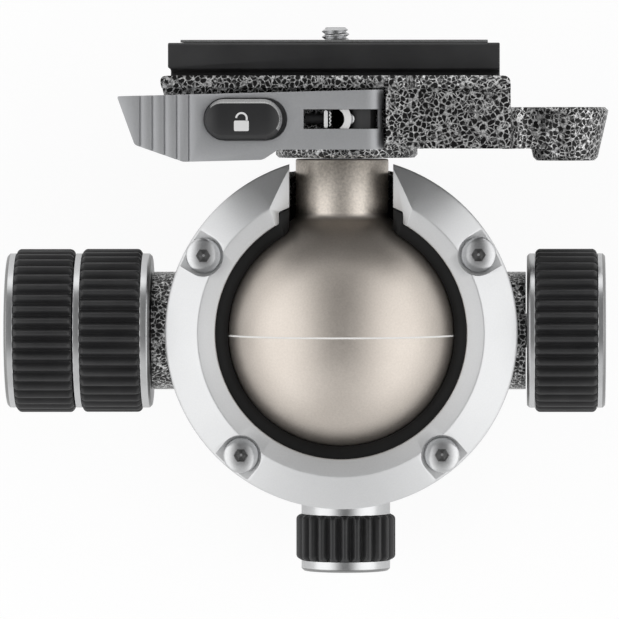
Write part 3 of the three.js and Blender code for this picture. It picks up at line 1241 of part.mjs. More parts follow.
const cupHole = LEVEL_CUP_RADIUS + REST_GAP;
const cupHoleFloor = LEVEL_TOP - LEVEL_CUP_DEPTH - REST_GAP;
const leverBay = box(CLAMP_LEFT - OVERRUN, BAY_RIGHT, CLAMP_FRONT - OVERRUN, BAY_REAR);
const clampBody = cut(
  join(
    slabY(clampFace, CLAMP_FRONT, CLAMP_REAR),
    boss,
    levelCone,
    slabZ(armOutline, LEVEL_ARM_BOTTOM, LEVEL_TOP),
  ),
  slabZ(leverBay, CLAMP_BOTTOM - OVERRUN, BAND_BOTTOM),
  slabZ(bandStep, BAND_BOTTOM - REST_GAP, CLAMP_TOP + OVERRUN),
  slabX(bandSlope, BAND_CURVE_END, CLAMP_RIGHT + OVERRUN),
  slabX(channel, CLAMP_LEFT - OVERRUN, CLAMP_RIGHT + OVERRUN),
  roundAt(boltHole, 0, 0, BOSS_BOTTOM - OVERRUN, STEM_BOLT_TOP + REST_GAP, FACETS_SMALL),
  roundAt(cupHole, LEVEL_X, LEVEL_Y, cupHoleFloor, LEVEL_TOP + OVERRUN, FACETS_MEDIUM),
  rodY(rodHole, PIVOT_X, LEVER_MIDDLE, CLAMP_FRONT, CLAMP_REAR + OVERRUN, FACETS_SMALL),
  ...GUIDE_PIN_PLACES.map((x) =>
    join(
      rodY(pinHole, x, LEVER_MIDDLE, GUIDE_PIN_FRONT - REST_GAP, CLAMP_REAR + OVERRUN, FACETS_SMALL),
      rodY(springHole, x, LEVER_MIDDLE, springHoleFloor, CLAMP_REAR + OVERRUN, FACETS_SMALL),
    ),
  ),
);
place(platform, 'clamp_body', clampBody, mottled());

// Level: a cup pressed into the cone, and its vial
const cupBottom = LEVEL_TOP - LEVEL_CUP_DEPTH;
const cupBore = LEVEL_CUP_RADIUS - LEVEL_CUP_WALL;
const levelCup = turned(
  [
    [0, cupBottom],
    [LEVEL_CUP_RADIUS, cupBottom],
    [LEVEL_CUP_RADIUS, LEVEL_TOP],
    [cupBore, LEVEL_TOP],
    [cupBore, cupBottom + LEVEL_CUP_FLOOR],
    [0, cupBottom + LEVEL_CUP_FLOOR],
  ],
  FACETS_MEDIUM,
);
const vialRadius = cupBore - REST_GAP;
const vialBottom = cupBottom + LEVEL_CUP_FLOOR + REST_GAP;
const levelVial = turned(
  [
    [0, vialBottom],
    [vialRadius, vialBottom],
    [vialRadius, LEVEL_TOP - LEVEL_DOME_HEIGHT],
    [vialRadius / 2, LEVEL_TOP - LEVEL_DOME_HEIGHT / CURVE_STEPS],
    [0, LEVEL_TOP],
  ],
  FACETS_MEDIUM,
);
place(platform, 'level_cup', levelCup, blackPlastic()).position.set(LEVEL_X, LEVEL_Y, 0);
place(platform, 'level_vial', levelVial, vialGreen()).position.set(LEVEL_X, LEVEL_Y, 0);

// Rear jaw with its rod, nut, guide pins and springs
const jawFront = CLAMP_REAR + REST_GAP;
const jawProfile = outline([
  [jawFront, JAW_BOTTOM],
  [JAW_REAR - JAW_EDGE, JAW_BOTTOM],
  [JAW_REAR, JAW_BOTTOM + JAW_EDGE],
  [JAW_REAR, CLAMP_TOP - JAW_EDGE],
  [JAW_REAR - JAW_EDGE, CLAMP_TOP],
  [jawLip, CLAMP_TOP],
  [jawFront, DOVETAIL_SHOULDER + flankGap - REST_GAP],
]);
const jawFace = roundedOutline(
  [
    [CLAMP_LEFT + CLAMP_END_SLANT, JAW_BOTTOM],
    [CLAMP_RIGHT, JAW_BOTTOM],
    [CLAMP_RIGHT, CLAMP_TOP],
    [CLAMP_LEFT, CLAMP_TOP],
  ],
  CLAMP_CORNER,
);
const nutRecessFloor = JAW_REAR - NUT_RECESS_DEPTH;
const rearJaw = cut(
  common(slabX(jawProfile, CLAMP_LEFT, CLAMP_RIGHT), slabY(jawFace, jawLip - OVERRUN, JAW_REAR + OVERRUN)),
  rodY(rodHole, PIVOT_X, LEVER_MIDDLE, jawFront - OVERRUN, JAW_REAR, FACETS_SMALL),
  rodY(NUT_RECESS_RADIUS, PIVOT_X, LEVER_MIDDLE, nutRecessFloor, JAW_REAR + OVERRUN, FACETS_SMALL),
  ...GUIDE_PIN_PLACES.map((x) =>
    rodY(pinHole, x, LEVER_MIDDLE, jawFront - OVERRUN, GUIDE_PIN_REAR + REST_GAP, FACETS_SMALL),
  ),
);
place(platform, 'rear_jaw', rearJaw, mottled());
const nutFront = nutRecessFloor + REST_GAP;
const nutRear = nutFront + ROD_NUT_THICKNESS;
place(
  platform,
  'tension_rod',
  rodY(ROD_RADIUS, PIVOT_X, LEVER_MIDDLE, ROD_FRONT, nutRear, FACETS_SMALL),
  steel(),
);
place(
  platform,
  'rod_nut',
  cut(
    hexPrism(ROD_NUT_RADIUS, nutFront, nutRear),
    rod(rodHole, nutFront - OVERRUN, nutRear + OVERRUN, FACETS_SMALL),
  )
    .rotateX(-Math.PI / 2)
    .translate(PIVOT_X, 0, LEVER_MIDDLE),
  steel(),
);
GUIDE_PIN_PLACES.forEach((x, i) => {
  place(
    platform,
    `guide_pin_${i + 1}`,
    rodY(GUIDE_PIN_RADIUS, x, LEVER_MIDDLE, GUIDE_PIN_FRONT, GUIDE_PIN_REAR, FACETS_SMALL),
    steel(),
  );
  place(
    platform,
    `jaw_spring_${i + 1}`,
    ring(JAW_SPRING_RADIUS - JAW_SPRING_WALL, JAW_SPRING_RADIUS, 0, JAW_SPRING_LENGTH, FACETS_SMALL)
      .rotateX(-Math.PI / 2)
      .translate(x, CLAMP_REAR - JAW_SPRING_LENGTH, LEVER_MIDDLE),
    steel(),
  );
});
const barrelRear = PIVOT_Y + BARREL_RADIUS + OVERRUN;
place(
  platform,
  'lever_barrel',
  cut(
    roundAt(BARREL_RADIUS, PIVOT_X, PIVOT_Y, BARREL_BOTTOM, BARREL_TOP, FACETS_SMALL),
    rodY(rodHole, PIVOT_X, LEVER_MIDDLE, ROD_FRONT - REST_GAP, barrelRear, FACETS_SMALL),
  ),
  blackAnodised(),
);

// Lever: the front outline meets a plan outline whose end is a cam round the barrel
const leverFace = roundedOutline(
  [
    [LEVER_TIP, LEVER_TOP_LEFT],
    [LEVER_SLANT_X, LEVER_SLANT_BOTTOM],
    [LEVER_LOBE_LEFT, LEVER_LOBE_BOTTOM_LEFT],
    [LEVER_LOBE_RIGHT, LEVER_LOBE_BOTTOM_RIGHT],
    [LEVER_LOBE_END, LEVER_BOTTOM],
    [PIVOT_X + CAM_SMALL_RADIUS, LEVER_BOTTOM],
    [PIVOT_X + CAM_SMALL_RADIUS, LEVER_TOP_RIGHT],
  ],
  LEVER_CORNER,
);
const camQuarter = Array.from({ length: CAM_STEPS + 1 }, (_, i) => {
  const angle = ((Math.PI / 2) * i) / CAM_STEPS;
  const radius = CAM_SMALL_RADIUS + (CAM_RISE * i) / CAM_STEPS;
  return [PIVOT_X + radius * Math.cos(angle), PIVOT_Y + radius * Math.sin(angle)];
});
const frontQuarter = arcPoints(CAM_SMALL_RADIUS, -Math.PI / 2, 0, CAM_STEPS).map(([x, y]) => [
  PIVOT_X + x,
  PIVOT_Y + y,
]);
const leverPlan = new THREE.Shape();
leverPlan.moveTo(...frontQuarter[0]);
[...frontQuarter.slice(1), ...camQuarter.slice(1)].forEach(([x, y]) => leverPlan.lineTo(x, y));
leverPlan.lineTo(WINDOW_LEFT, LEVER_REAR);
leverPlan.lineTo(LEVER_TIP + LEVER_CORNER, LEVER_REAR);
leverPlan.quadraticCurveTo(LEVER_TIP, LEVER_REAR, LEVER_TIP, LEVER_FRONT + LEVER_TIP_SET_BACK);
leverPlan.quadraticCurveTo(
  LEVER_TIP + LEVER_TIP_CURVE / 2,
  LEVER_FRONT,
  LEVER_TIP + LEVER_TIP_CURVE,
  LEVER_FRONT,
);
leverPlan.closePath();
const windowShape = box(
  WINDOW_LEFT,
  WINDOW_RIGHT,
  LEVER_MIDDLE - WINDOW_HEIGHT / 2,
  LEVER_MIDDLE + WINDOW_HEIGHT / 2,
);
const rodSlot = box(
  PIVOT_X - ROD_RADIUS,
  PIVOT_X + CAM_SMALL_RADIUS + OVERRUN,
  PIVOT_Y - ROD_RADIUS - REST_GAP,
  BAY_REAR + OVERRUN,
);
const grooveCuts = Array.from({ length: GROOVE_COUNT }, (_, i) => {
  const x = GROOVE_FIRST_X + i * GROOVE_PITCH;
  const section = outline([
    [x - GROOVE_WIDTH / 2, LEVER_FRONT - OVERRUN],
    [x + GROOVE_WIDTH / 2, LEVER_FRONT - OVERRUN],
    [x + GROOVE_WIDTH / 2, LEVER_FRONT],
    [x - GROOVE_WIDTH / 2, LEVER_FRONT + GROOVE_DEPTH],
  ]);
  return slabZ(section, LEVER_LOBE_BOTTOM_LEFT - OVERRUN, LEVER_TOP_RIGHT + OVERRUN);
});
const buttonPocket = stadium(
  BUTTON_LENGTH + 2 * REST_GAP + BUTTON_PLAY,
  BUTTON_WIDTH + 2 * REST_GAP,
  BUTTON_X + BUTTON_PLAY / 2,
  LEVER_MIDDLE,
);
const buttonPocketFloor = LEVER_FRONT + BUTTON_DEPTH + BUTTON_TRAVEL + REST_GAP;
const springWell = BUTTON_SPRING_RADIUS + REST_GAP;
const springWellFloor = buttonPocketFloor + BUTTON_SPRING_LENGTH + REST_GAP;
const barrelHole = BARREL_RADIUS + REST_GAP;
const lever = cut(
  common(
    slabY(leverFace, LEVER_FRONT - OVERRUN, BAY_REAR),
    slabZ(leverPlan, LEVER_LOBE_BOTTOM_LEFT - OVERRUN, LEVER_TOP_RIGHT + OVERRUN),
  ),
  slabY(windowShape, LEVER_FRONT - OVERRUN, BAY_REAR + OVERRUN),
  slabZ(rodSlot, LEVER_MIDDLE - WINDOW_HEIGHT / 2, LEVER_MIDDLE + WINDOW_HEIGHT / 2),
  roundAt(barrelHole, PIVOT_X, PIVOT_Y, LEVER_LOBE_BOTTOM_LEFT, LEVER_TOP_RIGHT + OVERRUN, FACETS_SMALL),
  ...grooveCuts,
  slabY(buttonPocket, LEVER_FRONT - OVERRUN, buttonPocketFloor),
  rodY(springWell, BUTTON_X, LEVER_MIDDLE, LEVER_FRONT, springWellFloor, FACETS_SMALL),
);
place(platform, 'lever', lever, greySatin());

// Latch pin that shows in the lever's window
const latchFlangeEnd = LATCH_LEFT + LATCH_FLANGE;
const latchNeckEnd = latchFlangeEnd + LATCH_NECK;
const latchTip = PIVOT_X - BARREL_RADIUS - REST_GAP;
place(
  platform,
  'latch_pin',
  turned(
    [
      [0, WINDOW_LEFT + REST_GAP],
      [LATCH_NECK_RADIUS, WINDOW_LEFT + REST_GAP],
      [LATCH_NECK_RADIUS, LATCH_LEFT],
      [LATCH_RADIUS, LATCH_LEFT],
      [LATCH_RADIUS, latchFlangeEnd],
      [LATCH_NECK_RADIUS, latchFlangeEnd],
      [LATCH_NECK_RADIUS, latchNeckEnd],
      [LATCH_RADIUS, latchNeckEnd],
      [LATCH_RADIUS, latchTip],
      [0, latchTip],
    ],
    FACETS_SMALL,
  )
    .rotateY(Math.PI / 2)
    .translate(0, PIVOT_Y, LEVER_MIDDLE),
  steel(),
);

// Lock button: a raised stadium with sloped sides, and its spring
const buttonFoot = LEVER_FRONT + BUTTON_DEPTH;
const buttonSkirt = slabY(
  stadium(BUTTON_LENGTH, BUTTON_WIDTH, BUTTON_X, LEVER_MIDDLE),
  LEVER_FRONT,
  buttonFoot,
);
const buttonCrown = new THREE.ExtrudeGeometry(
  stadium(BUTTON_LENGTH - 2 * BUTTON_TOP_INSET, BUTTON_WIDTH - 2 * BUTTON_TOP_INSET, BUTTON_X, LEVER_MIDDLE),
  {
    depth: BUTTON_DEPTH,
    bevelEnabled: true,
    bevelThickness: BUTTON_RAISED,
    bevelSize: BUTTON_TOP_INSET,
    bevelSegments: 1,
    curveSegments: CURVE_STEPS,
  },
)
  .rotateX(Math.PI / 2)
  .translate(0, LEVER_FRONT + BUTTON_DEPTH / 2, 0);
const buttonFront = LEVER_FRONT - BUTTON_RAISED;
const buttonZone = slabY(
  stadium(BUTTON_LENGTH + OVERRUN, BUTTON_WIDTH + OVERRUN, BUTTON_X, LEVER_MIDDLE),
  buttonFront,
  buttonFoot,
);
place(platform, 'lock_button', common(join(buttonSkirt, buttonCrown), buttonZone), blackPlastic());
const buttonSpringBore = BUTTON_SPRING_RADIUS - BUTTON_SPRING_WALL;
place(
  platform,
  'button_spring',
  ring(buttonSpringBore, BUTTON_SPRING_RADIUS, 0, BUTTON_SPRING_LENGTH, FACETS_SMALL)
    .rotateX(-Math.PI / 2)
    .translate(BUTTON_X, buttonFoot + REST_GAP, LEVER_MIDDLE),
  steel(),
);

// Quick-release plate, its pad and the camera screw
const plateSection = outline([
  [-DOVETAIL_HALF_WIDTH, DOVETAIL_BOTTOM],
  [DOVETAIL_HALF_WIDTH, DOVETAIL_BOTTOM],
  [DOVETAIL_HALF_WIDTH, DOVETAIL_SHOULDER],
  [DOVETAIL_NECK_HALF_WIDTH, DOVETAIL_NECK],
  [DOVETAIL_HALF_WIDTH, PLATE_SIDE_BOTTOM],
  [DOVETAIL_HALF_WIDTH, PLATE_TOP - PLATE_EDGE],
  [DOVETAIL_HALF_WIDTH - PLATE_EDGE, PLATE_TOP],
  [PLATE_EDGE - DOVETAIL_HALF_WIDTH, PLATE_TOP],
  [-DOVETAIL_HALF_WIDTH, PLATE_TOP - PLATE_EDGE],
  [-DOVETAIL_HALF_WIDTH, PLATE_SIDE_BOTTOM],
  [-DOVETAIL_NECK_HALF_WIDTH, DOVETAIL_NECK],
  [-DOVETAIL_HALF_WIDTH, DOVETAIL_SHOULDER],
]);
const plateFace = outline([
  [PLATE_LEFT + PLATE_END_CUT, DOVETAIL_BOTTOM],
  [PLATE_RIGHT - PLATE_END_CUT, DOVETAIL_BOTTOM],
  [PLATE_RIGHT - PLATE_END_CUT, PLATE_SIDE_BOTTOM],
  [PLATE_RIGHT, PLATE_SIDE_BOTTOM + PLATE_END_CUT_HEIGHT],
  [PLATE_RIGHT, PLATE_TOP],
  [PLATE_LEFT, PLATE_TOP],
  [PLATE_LEFT, PLATE_SIDE_BOTTOM + PLATE_END_CUT_HEIGHT],
  [PLATE_LEFT + PLATE_END_CUT, PLATE_SIDE_BOTTOM],
]);
const cameraScrewHole = CAMERA_SCREW_RADIUS + REST_GAP;
const screwWell = CAMERA_SCREW_HEAD_RADIUS + REST_GAP;
const screwWellTop = CAMERA_SCREW_HEAD_TOP + REST_GAP;
const plate = cut(
  common(
    slabX(plateSection, PLATE_LEFT, PLATE_RIGHT),
    slabY(plateFace, -DOVETAIL_HALF_WIDTH, DOVETAIL_HALF_WIDTH),
  ),
  roundAt(cameraScrewHole, PLATE_MIDDLE, 0, DOVETAIL_BOTTOM - OVERRUN, PLATE_TOP + OVERRUN, FACETS_SMALL),
  roundAt(screwWell, PLATE_MIDDLE, 0, DOVETAIL_BOTTOM - OVERRUN, screwWellTop, FACETS_MEDIUM),
);
place(platform, 'plate', plate, blackAnodised());
const padBottom = PLATE_TOP + PRESS_GAP;
const pad = cut(
  slabZ(
    box(PLATE_LEFT + PAD_INSET, PLATE_RIGHT - PAD_INSET, -PAD_HALF_WIDTH, PAD_HALF_WIDTH),
    padBottom,
    PAD_TOP,
  ),
  roundAt(cameraScrewHole, PLATE_MIDDLE, 0, PLATE_TOP - OVERRUN, PAD_TOP + OVERRUN, FACETS_SMALL),
);
place(platform, 'plate_pad', pad, blackRubber());
const cameraScrew = cut(
  turned(
    [
      [0, CAMERA_SCREW_HEAD_BOTTOM],
      [CAMERA_SCREW_HEAD_RADIUS, CAMERA_SCREW_HEAD_BOTTOM],
      [CAMERA_SCREW_HEAD_RADIUS, CAMERA_SCREW_HEAD_TOP],
      [CAMERA_SCREW_RADIUS, CAMERA_SCREW_HEAD_TOP],
      [CAMERA_SCREW_RADIUS, CAMERA_SCREW_TOP - PLATE_EDGE],
      [CAMERA_SCREW_RADIUS - PLATE_EDGE, CAMERA_SCREW_TOP],
      [0, CAMERA_SCREW_TOP],
    ],
    FACETS_SMALL,
  ),
  slabZ(
    box(
      -CAMERA_SCREW_HEAD_RADIUS - OVERRUN,
      CAMERA_SCREW_HEAD_RADIUS + OVERRUN,
      -CAMERA_SCREW_SLOT_WIDTH / 2,
      CAMERA_SCREW_SLOT_WIDTH / 2,
    ),
    CAMERA_SCREW_HEAD_BOTTOM - OVERRUN,
    CAMERA_SCREW_HEAD_BOTTOM + CAMERA_SCREW_SLOT_DEPTH,
  ),
);
place(platform, 'camera_screw', cameraScrew, steel()).position.set(PLATE_MIDDLE, 0, 0);

export default ballHead;
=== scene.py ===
import json
import math

import bmesh
import bpy
from mathutils import Matrix, Vector


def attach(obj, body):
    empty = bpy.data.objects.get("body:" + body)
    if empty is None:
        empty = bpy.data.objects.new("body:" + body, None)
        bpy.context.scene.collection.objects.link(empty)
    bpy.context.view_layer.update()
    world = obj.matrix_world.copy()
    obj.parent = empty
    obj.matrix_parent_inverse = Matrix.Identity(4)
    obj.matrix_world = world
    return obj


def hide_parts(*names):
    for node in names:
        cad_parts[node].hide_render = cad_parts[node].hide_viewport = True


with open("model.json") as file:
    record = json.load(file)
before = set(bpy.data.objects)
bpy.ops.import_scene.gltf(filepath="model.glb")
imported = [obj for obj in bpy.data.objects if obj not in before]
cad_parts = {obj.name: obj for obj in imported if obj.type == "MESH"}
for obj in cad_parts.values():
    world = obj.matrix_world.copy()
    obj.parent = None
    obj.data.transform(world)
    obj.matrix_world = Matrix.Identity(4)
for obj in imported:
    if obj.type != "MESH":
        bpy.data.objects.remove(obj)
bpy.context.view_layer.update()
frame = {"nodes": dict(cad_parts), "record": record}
NODES = frame["nodes"]
MM = 0.001
TAU = 2 * math.pi
TINY = 1e-6

# Places that several pieces share, in millimetres, as in the part's source
BALL_HEIGHT = 60
KNOB_HEIGHT = 53
PAN_KNOB_HEIGHT = 21.5
LEVER_PIVOT = Vector((5.2, -28.1))
LEVER_MIDDLE = 49.65

# Frames of the groups, in millimetres
SOCKET = Matrix.Translation((0, 0, BALL_HEIGHT))
PLATFORM = SOCKET @ Matrix.Rotation(-math.pi / 2, 4, "X")
LEFT = Matrix.Translation((0, 0, KNOB_HEIGHT)) @ Matrix.Rotation(-math.pi / 2, 4, "Y")
RIGHT = Matrix.Translation((0, 0, KNOB_HEIGHT)) @ Matrix.Rotation(math.pi / 2, 4, "Y")
PAN = Matrix.Translation((0, 0, PAN_KNOB_HEIGHT)) @ Matrix.Rotation(math.pi / 2, 4, "X")
# The platform's x, its height and the depth towards the camera
CLAMP_FACE = PLATFORM @ Matrix.Rotation(math.pi / 2, 4, "X")
# From the world's metres to the platform's millimetres, and back
INWARD = PLATFORM.inverted() @ Matrix.Scale(1 / MM, 4)
OUTWARD = Matrix.Scale(MM, 4) @ PLATFORM


def camera():
    """A long lens that looks straight down, but for a small tilt, framed as the photo is."""
    image, ball_x, ball_y = 619, 342.2, 331.5  # in pixels
    pixel, distance = 0.233, 1700.0  # in millimetres at the ball's centre
    tilt, turn = math.radians(1.8), math.radians(1.5)
    sensor, clip_end = 36, 100
    up = Vector((0, math.cos(tilt), -math.sin(tilt)))
    back = Vector((0, math.sin(tilt), math.cos(tilt)))
    right = (Vector((math.cos(turn), 0, 0)) - back * math.sin(turn)).normalized()
    back = (back * math.cos(turn) + Vector((math.sin(turn), 0, 0))).normalized()
    up = back.cross(right)
    off = Vector(((ball_x - image / 2) * pixel, (image / 2 - ball_y) * pixel))
    place = Vector((0, 0, BALL_HEIGHT)) - (right * off.x + up * off.y - back * distance)
    data = bpy.data.cameras.new("camera")
    data.sensor_width = sensor
    data.lens = sensor * distance / pixel / image
    data.clip_end = clip_end
    made = bpy.data.objects.new("camera", data)
    bpy.context.scene.collection.objects.link(made)
    axes = Matrix((right, up, back)).transposed().to_4x4()
    made.matrix_world = Matrix.Translation(place * MM) @ axes
    bpy.context.scene.camera = made


# Node materials
def maths(tree, kind, *values):
    """A Math node's output, fed by numbers or other outputs."""
    made = tree.nodes.new("ShaderNodeMath")
    made.operation = kind
    for socket, value in zip(made.inputs, values):
        if isinstance(value, (int, float)):
            socket.default_value = value
        else:
            tree.links.new(value, socket)
    return made.outputs[0]


def smoothed(tree, value, low, high, start=0.0, end=1.0):
    """A value carried smoothly from start to end between low and high."""
    made = tree.nodes.new("ShaderNodeMapRange")
    made.interpolation_type = "SMOOTHSTEP"
    limits = (("From Min", low), ("From Max", high), ("To Min", start), ("To Max", end))
    for key, number in limits:
        made.inputs[key].default_value = number
    tree.links.new(value, made.inputs["Value"])
    return made.outputs["Result"]


class Shader:
    """A Principled material and the few nodes that the finishes are made of."""

    def __init__(self, name, color, roughness, metallic, **sockets):
        self.material = bpy.data.materials.new(name)
        self.material.use_nodes = True
        self.tree = self.material.node_tree
        self.bsdf = self.tree.nodes["Principled BSDF"]
        self.put("Base Color", (*color, 1))
        self.put("Roughness", roughness)
        self.put("Metallic", metallic)
        for key, value in sockets.items():
            self.put(key.replace("_", " "), value)
        self.coords = self.node("ShaderNodeTexCoord").outputs["Object"]

    def put(self, socket, value):
        self.bsdf.inputs[socket].default_value = value

    def node(self, kind, **settings):
        """A node with its properties, or else its inputs, set by name."""
        made = self.tree.nodes.new(kind)
        for key, value in settings.items():
            if hasattr(made, key):
                setattr(made, key, value)
            else:
                made.inputs[key.replace("_", " ")].default_value = value
        return made

    def link(self, a, b):
        self.tree.links.new(a, b)

    def math(self, kind, *values):
        return maths(self.tree, kind, *values)

    def noise(self, scale, detail=3, rough=0.5, coords=None):
        made = self.node("ShaderNodeTexNoise", Scale=scale, Detail=detail, Roughness=rough)
        self.link(coords or self.coords, made.inputs["Vector"])
        return made.outputs["Fac"]

    def ramp(self, value, stops):
        made = self.node("ShaderNodeValToRGB")
        while len(made.color_ramp.elements) < len(stops):
            made.color_ramp.elements.new(0.5)
        for element, (at, colour) in zip(made.color_ramp.elements, stops):
            element.position = at
            element.color = (*colour, 1) if isinstance(colour, tuple) else (colour,) * 3 + (1,)
        self.link(value, made.inputs["Fac"])
        return made.outputs["Color"]

    def mix(self, factor, a, b):
        """Two colours mixed. The inputs 0, 6 and 7 are the factor and the colours."""
        made = self.tree.nodes.new("ShaderNodeMix")
        made.data_type = "RGBA"
        for at, value in ((0, factor), (6, a), (7, b)):
            if isinstance(value, tuple):
                made.inputs[at].default_value = (*value, 1)
            else:
                self.link(value, made.inputs[at])
        return made.outputs[2]

    def bump(self, height, strength, distance):
        made = self.node("ShaderNodeBump", Strength=strength, Distance=distance * MM)
        self.link(height, made.inputs["Height"])
        self.link(made.outputs["Normal"], self.bsdf.inputs["Normal"])

    def color(self, output):
        self.link(output, self.bsdf.inputs["Base Color"])

    def roughness(self, output, low, high):
        made = self.node("ShaderNodeMapRange", To_Min=low, To_Max=high)
        self.link(output, made.inputs["Value"])
        self.link(made.outputs["Result"], self.bsdf.inputs["Roughness"])


def blasted(name, low, high, roughness, metallic=1.0, grain=2600, strength=0.25):
    """Bead-blasted metal: a fine grain in the colour, the gloss and the surface."""
    shader = Shader(name, low, roughness, metallic)
    fine = shader.noise(grain, 2)
    cloud = shader.noise(60, 4)
    parts = [shader.math("MULTIPLY", part, share) for part, share in ((fine, 0.55), (cloud, 0.45))]
    mottle = shader.math("ADD", *parts)
    shader.color(shader.ramp(mottle, [(0.3, low), (0.7, high)]))
    shader.roughness(fine, roughness - 0.05, roughness + 0.07)
    shader.bump(fine, strength, 0.02)
    return shader.material


def mottled():
    """Crackle paint: dark glossy cells in a thin silver web, with a finer web in patches."""
    shader = Shader("mottled_paint", (0.1, 0.1, 0.1), 0.3, 0.4, Specular_IOR_Level=0.25)
    reach = 0.0013  # how far the noise shifts the cells, in metres
    warp = shader.node("ShaderNodeTexNoise", Scale=700, Detail=3)
    shader.link(shader.coords, warp.inputs["Vector"])
    shift = shader.node("ShaderNodeVectorMath", operation="MULTIPLY_ADD")
    shift.inputs[1].default_value = (reach, reach, reach)
    shader.link(warp.outputs["Color"], shift.inputs[0])
    shader.link(shader.coords, shift.inputs[2])
    webs = []
    for scale, width, core in ((840, 0.12, 0.6), (1300, 0.1, 0.66)):
        edge = shader.node("ShaderNodeTexVoronoi", feature="DISTANCE_TO_EDGE", Scale=scale)
        near = shader.node("ShaderNodeTexVoronoi", feature="F1", Scale=scale)
        for cells in (edge, near):
            shader.link(shift.outputs[0], cells.inputs["Vector"])
        line = smoothed(shader.tree, edge.outputs["Distance"], 0.03, width, 1.0, 0.0)
        corner = smoothed(shader.tree, near.outputs["Distance"], core, core + 0.14, 0.0, 0.9)
        webs.append(shader.math("MAXIMUM", line, corner))
    patch = shader.ramp(shader.noise(360, 2), [(0.55, 0.0), (0.65, 0.6)])
    web = shader.math("MAXIMUM", webs[0], shader.math("MULTIPLY", webs[1], patch))
    tone = shader.ramp(shader.noise(1200, 3, 0.7), [(0.4, 0.15), (0.6, 1.0)])
    speck = shader.ramp(shader.noise(5200, 2), [(0.36, 0.72), (0.6, 1.0)])
    mask = shader.math("MULTIPLY", shader.math("MULTIPLY", web, tone), speck)
    dark_cells = shader.ramp(shader.noise(1500, 2), [(0.3, 0.003), (0.7, 0.01)])
    silver = shader.ramp(shader.noise(2600, 2), [(0.35, 0.75), (0.65, 1.0)])
    shader.color(shader.mix(mask, dark_cells, silver))
    shader.roughness(mask, 0.22, 0.42)
    metal = smoothed(shader.tree, mask, 0.0, 1.0, 0.0, 0.95)
    shader.link(metal, shader.bsdf.inputs["Metallic"])
    shader.bump(web, -0.45, 0.1)
    return shader.material


def rubber():
    shader = Shader("black_rubber", (0.03, 0.03, 0.031), 0.62, 0)
    grain = shader.noise(3200, 3)
    cloud = shader.noise(140, 4)
    low, high = (0.015, 0.015, 0.016), (0.026, 0.026, 0.027)
    shader.color(shader.ramp(cloud, [(0.3, low), (0.75, high)]))
    shader.roughness(grain, 0.34, 0.55)
    shader.bump(grain, 0.3, 0.03)
    return shader.material


def pad_rubber():
    shader = Shader("pad_rubber", (0.2, 0.2, 0.2), 0.6, 0)
    grain = shader.noise(2400, 3)
    shader.color(shader.ramp(grain, [(0.3, 0.16), (0.75, 0.25)]))
    shader.roughness(grain, 0.5, 0.75)
    shader.bump(grain, 0.4, 0.04)
    return shader.material


def dark(name, low, high, roughness, metallic, **sockets):
    """Anodised metal, plastic or paint: a slow cloud in the colour and a fine grain."""
    shader = Shader(name, low, roughness, metallic, **sockets)
    grain = shader.noise(4200, 2)
    cloud = shader.noise(90, 4)
    shader.color(shader.ramp(cloud, [(0.3, low), (0.7, high)]))
    shader.roughness(grain, roughness - 0.06, roughness + 0.08)
    shader.bump(grain, 0.15, 0.015)
    return shader.material


def machined(name, low, high, roughness):
    """Turned steel or bronze: grain drawn out into fine streaks."""
    shader = Shader(name, low, roughness, 1)
    stretched = shader.node("ShaderNodeMapping")
    stretched.inputs["Scale"].default_value = (300, 5000, 300)
    shader.link(shader.coords, stretched.inputs["Vector"])
    streak = shader.noise(1, 3, 0.6, stretched.outputs["Vector"])
    shader.color(shader.ramp(streak, [(0.3, low), (0.7, high)]))
    shader.roughness(streak, roughness - 0.06, roughness + 0.1)
    shader.bump(streak, 0.12, 0.02)
    return shader.material


def scale_ring():
    """Satin ring with dark ticks every 5 degrees, longer every 15."""
    wall_radius, tick_top = 0.0355, 0.0102  # in metres
    tick_half_width = 0.486  # in degrees
    shader = Shader("scale_silver", (0.6, 0.6, 0.6), 0.35, 1)
    split = shader.node("ShaderNodeSeparateXYZ")
    shader.link(shader.coords, split.inputs[0])
    x, y, z = split.outputs
    angle = shader.math("ARCTAN2", y, x)
    squares = [shader.math("MULTIPLY", value, value) for value in (x, y)]
    radius = shader.math("SQRT", shader.math("ADD", *squares))
    wall = shader.math("GREATER_THAN", radius, wall_radius)
    rows = []
    for count, tick_foot in ((72, 0.0088), (24, 0.0078)):
        turns = shader.math("FRACT", shader.math("MULTIPLY", angle, count / TAU))
        middle = shader.math("ABSOLUTE", shader.math("SUBTRACT", turns, 0.5))
        line = shader.math("GREATER_THAN", middle, 0.5 - tick_half_width * count / 360)
        over = shader.math("GREATER_THAN", z, tick_foot)
        band = shader.math("MULTIPLY", over, shader.math("LESS_THAN", z, tick_top))
        rows.append(shader.math("MULTIPLY", shader.math("MULTIPLY", line, band), wall))
    ticks = shader.math("MAXIMUM", *rows)
    grain = shader.noise(2600, 2)
    silver = shader.ramp(grain, [(0.3, 0.56), (0.7, 0.66)])
    shader.color(shader.mix(ticks, silver, (0.03, 0.03, 0.03)))
    shader.roughness(grain, 0.3, 0.42)
    shader.bump(grain, 0.2, 0.02)
    return shader.material


def vial():
    shader = Shader("vial", (0.55, 0.72, 0.08), 0.08, 0, Coat_Weight=0.6, Coat_Roughness=0.03)
    cloud = shader.noise(200, 2)
    shader.color(shader.ramp(cloud, [(0.3, (0.5, 0.68, 0.07)), (0.7, (0.6, 0.76, 0.1))]))
    shader.roughness(cloud, 0.06, 0.12)
    return shader.material


def grey(level):
    return (level, level, level)


